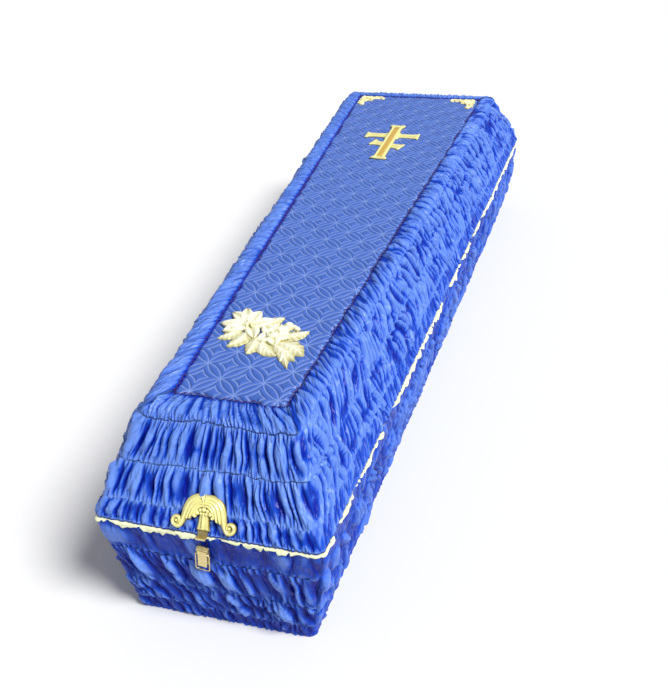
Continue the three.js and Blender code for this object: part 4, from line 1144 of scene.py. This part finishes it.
def seam_nodes(tree, place):
    """How far a place is from the nearest quilting seam, in metres, as seam_distance has it."""
    lattice = QUILT_PITCH * math.sqrt(2) / METRE
    turned = add_node(tree, "ShaderNodeMapping", {
        "Vector": place, "Location": [c / METRE for c in (*QUILT_NODE, 0)],
        "Rotation": (0, 0, QUILT_TURN + math.pi / 4), "Scale": (lattice, lattice, 1)}, vector_type="TEXTURE")
    flat = add_node(tree, "ShaderNodeVectorMath", {
        0: turned.outputs[0], 1: (1, 1, 0)}, operation="MULTIPLY")
    cell = add_node(tree, "ShaderNodeVectorMath", {0: flat.outputs[0]}, operation="FRACTION")
    centred = add_node(tree, "ShaderNodeVectorMath", {
        0: cell.outputs[0], 1: (0.5, 0.5, 0)}, operation="SUBTRACT")
    # The seams of each cell mirror in its middle lines.
    corner = add_node(tree, "ShaderNodeVectorMath", {0: centred.outputs[0]}, operation="ABSOLUTE")
    parts = add_node(tree, "ShaderNodeSeparateXYZ", {0: corner.outputs[0]})
    wide = add_node(tree, "ShaderNodeMath", {0: parts.outputs[0], 1: parts.outputs[1]}, operation="MAXIMUM")
    past = add_node(tree, "ShaderNodeMath", {0: wide.outputs[0], 1: INNER_STAR / 2}, operation="SUBTRACT")
    beyond = add_node(tree, "ShaderNodeMath", {0: past.outputs[0], 1: 0.0}, operation="MAXIMUM")
    nearest = 1.0
    for size, steepness in ((1.0, 0.0), (INNER_STAR, TIP_STEEPNESS)):
        centre, radius = SEAM_CENTRE * size, SEAM_RADIUS * size
        for arc_centre in ((centre, 0, 0), (0, centre, 0)):
            reach = add_node(tree, "ShaderNodeVectorMath", {
                0: corner.outputs[0], 1: arc_centre}, operation="DISTANCE")
            off = add_node(tree, "ShaderNodeMath", {
                0: reach.outputs["Value"], 1: radius}, operation="SUBTRACT")
            away = add_node(tree, "ShaderNodeMath", {0: off.outputs[0]}, operation="ABSOLUTE")
            ended = add_node(tree, "ShaderNodeMath", {
                0: beyond.outputs[0], 1: steepness, 2: away.outputs[0]}, operation="MULTIPLY_ADD")
            least = add_node(tree, "ShaderNodeMath", {0: nearest, 1: ended.outputs[0]}, operation="MINIMUM")
            nearest = least.outputs[0]
    return add_node(tree, "ShaderNodeMath", {0: nearest, 1: lattice}, operation="MULTIPLY").outputs[0]


def plain_cotton():
    """Undyed cotton calico, plain woven: matt, cream, slightly uneven."""
    material, tree, shader = new_material("plain_woven_cotton")
    place = add_node(tree, "ShaderNodeTexCoord").outputs["Object"]
    # Uneven bleaching, about 25 mm across
    blotched, _ = mottle(tree, place, 40.0, 4.0, "#D9DFA8", "#F4F4DA")
    tree.links.new(blotched, shader.inputs["Base Color"])
    # The real threads are 0.5 mm apart. They are drawn 1.4 mm apart, so that they show.
    weave = add_node(tree, "ShaderNodeTexNoise", {"Vector": place, "Scale": 700.0})
    bump = add_node(tree, "ShaderNodeBump", {
        "Height": weave.outputs["Fac"], "Strength": 0.3, "Distance": 0.0004})
    tree.links.new(bump.outputs["Normal"], shader.inputs["Normal"])
    shader.inputs["Roughness"].default_value = 0.85
    return material


def spun_thread():
    """Spun polyester sewing thread, dyed a reddish brown."""
    material, tree, shader = new_material("spun_polyester_thread")
    place = add_node(tree, "ShaderNodeTexCoord").outputs["Object"]
    # Uneven dye, about 17 mm long
    dyed, _ = mottle(tree, place, 60.0, 2.0, "#3C2A62", "#664070")
    tree.links.new(dyed, shader.inputs["Base Color"])
    shader.inputs["Roughness"].default_value = 0.7
    return material


def sawn_pine():
    """Sawn pine boards: matt, with grain lines along their length."""
    material, tree, shader = new_material("sawn_pine")
    place = add_node(tree, "ShaderNodeTexCoord").outputs["Object"]
    # The real grain lines are 3 mm apart. They are drawn 9 mm apart, so that they show.
    stretched = add_node(tree, "ShaderNodeMapping", {"Vector": place, "Scale": (12.0, 0.8, 12.0)})
    grained, grain = mottle(tree, stretched.outputs[0], 9.0, 6.0, "#A87B45", "#E0BE87")
    tree.links.new(grained, shader.inputs["Base Color"])
    shader.inputs["Roughness"].default_value = 0.75
    bump = add_node(tree, "ShaderNodeBump", {
        "Height": grain, "Strength": 0.3, "Distance": 0.001})
    tree.links.new(bump.outputs["Normal"], shader.inputs["Normal"])
    return material


def gilt_plastic(name, painted_recess_shade, face, roughness, metallic):
    """Moulded polystyrene with a sprayed gold coat: soft gloss, and painted shade in its recesses."""
    material, tree, shader = new_material(name)
    place = add_node(tree, "ShaderNodeTexCoord").outputs["Object"]
    # Thick and thin patches of the coat, about 14 mm across
    patchy = add_node(tree, "ShaderNodeTexNoise", {"Vector": place, "Scale": 70.0, "Detail": 3.0})
    height = add_node(tree, "ShaderNodeAttribute", attribute_name="relief")
    # Low places of each form take the recess colour as painted shade, mixed with the coat's patches.
    uneven = add_node(tree, "ShaderNodeMath", {
        0: patchy.outputs["Fac"], 1: 0.35, 2: height.outputs["Fac"]}, operation="MULTIPLY_ADD")
    shade = add_node(tree, "ShaderNodeMapRange", {
        "Value": uneven.outputs[0], "From Min": 0.45, "From Max": 1.0})
    mixed = add_node(tree, "ShaderNodeMix", {
        "Factor": shade.outputs["Result"], 6: colour(painted_recess_shade), 7: colour(face)}, data_type="RGBA")
    tree.links.new(mixed.outputs[2], shader.inputs["Base Color"])
    shader.inputs["Roughness"].default_value = roughness
    shader.inputs["Metallic"].default_value = metallic
    return material


def brassed_steel():
    """Pressed steel sheet and wire with a thin brass plating: soft, uneven gloss."""
    material, tree, shader = new_material("brass_plated_steel")
    place = add_node(tree, "ShaderNodeTexCoord").outputs["Object"]
    # Tarnish and wear, about 5 mm across
    worn, wear = mottle(tree, place, 220.0, 3.0, "#CDB468", "#F6E9B6")
    tree.links.new(worn, shader.inputs["Base Color"])
    rough = add_node(tree, "ShaderNodeMapRange", {"Value": wear, "To Min": 0.3, "To Max": 0.48})
    tree.links.new(rough.outputs["Result"], shader.inputs["Roughness"])
    shader.inputs["Metallic"].default_value = 1.0
    return material


# The first colour is painted shade deep in the folds, and the last a painted highlight on the ridges.
SATIN = woven_satin("woven_polyester_satin", "#00148C", "#1346BE", "#1F55CE", "#688DE0", 0.33)
QUILTED_SATIN = quilted_satin()
COTTON = plain_cotton()
OVERLOCK_THREAD = spun_thread()
PINE = sawn_pine()
# The first colour of each of these is painted shade for its recesses.
GILT = gilt_plastic("gilt_moulded_polystyrene", "#A08C36", "#F8F1A5", 0.3, 0.2)
PALE_GILT = gilt_plastic("pale_gilt_moulded_polystyrene", "#B9B274", "#FDFBE0", 0.38, 0.1)
LIGHT_GILT = gilt_plastic("light_gilt_moulded_polystyrene", "#B3A356", "#FCF5BC", 0.34, 0.15)
OCHRE = gilt_plastic("ochre_lacquered_polystyrene", "#B08A38", "#D0AA52", 0.45, 0.1)
PLATED = brassed_steel()

NODE_FINISHES = {
    "box_boards": PINE,
    "lid_boards": PINE,
    "hook_plate": PLATED,
    "latch_base": PLATED,
    "latch_lever": PLATED,
    "latch_loop": PLATED,
}
for node_name, finish in NODE_FINISHES.items():
    solid = bpy.data.objects[node_name]
    solid.data.materials.clear()
    solid.data.materials.append(finish)

lid_satin()
box_satin()
panel_quilting()
panel_stitching()
lining_cloth()
cross_casting()
flower_spray()
corner_ornaments()
scroll_plate()


# The floor, the light and the camera

# How far the floor reaches, in metres
FLOOR_REACH = 60.0
# The sun shines from this direction, and is this many degrees wide.
SUN_FROM = (0.72, -0.15, 0.95)
SUN_WIDTH = 22
SUN_STRENGTH = 3.95
SKY_STRENGTH = 0.31


def studio_floor():
    mesh = bpy.data.meshes.new("floor")
    corners = [(FLOOR_REACH * x, FLOOR_REACH * y, 0) for x, y in ((-1, -1), (1, -1), (1, 1), (-1, 1))]
    mesh.from_pydata(corners, [], [(0, 1, 2, 3)])
    material, _, shader = new_material("pale_floor")
    shader.inputs["Base Color"].default_value = colour("#E6E6E6")
    shader.inputs["Roughness"].default_value = 0.9
    mesh.materials.append(material)
    floor = bpy.data.objects.new("floor", mesh)
    bpy.context.scene.collection.objects.link(floor)


def studio_light():
    world = bpy.data.worlds.new("studio")
    bpy.context.scene.world = world
    world.use_nodes = True
    sky = world.node_tree.nodes["Background"]
    sky.inputs["Color"].default_value = colour("#FFFFFF")
    sky.inputs["Strength"].default_value = SKY_STRENGTH
    sun = bpy.data.lights.new("sun", "SUN")
    sun.energy = SUN_STRENGTH
    sun.angle = math.radians(SUN_WIDTH)
    lamp = bpy.data.objects.new("sun", sun)
    lamp.rotation_euler = Vector(SUN_FROM).to_track_quat("Z", "Y").to_euler()
    bpy.context.scene.collection.objects.link(lamp)


def photo_camera():
    yaw, pitch, roll = (math.radians(a) for a in (CAMERA_YAW, CAMERA_PITCH, CAMERA_ROLL))
    back = Vector((math.sin(yaw) * math.cos(pitch), -math.cos(yaw) * math.cos(pitch), math.sin(pitch)))
    level = Vector((math.cos(yaw), math.sin(yaw), 0))
    above = back.cross(level)
    right = level * math.cos(roll) + above * math.sin(roll)
    up = above * math.cos(roll) - level * math.sin(roll)
    data = bpy.data.cameras.new("camera")
    data.lens = CAMERA_LENS
    data.shift_x, data.shift_y = CAMERA_SHIFT
    camera = bpy.data.objects.new("camera", data)
    camera.matrix_world = Matrix((right, up, back)).transposed().to_4x4()
    camera.location = CAMERA_PLACE
    bpy.context.scene.collection.objects.link(camera)
    bpy.context.scene.camera = camera


studio_floor()
studio_light()
photo_camera()
bpy.context.scene.view_settings.view_transform = "Standard"
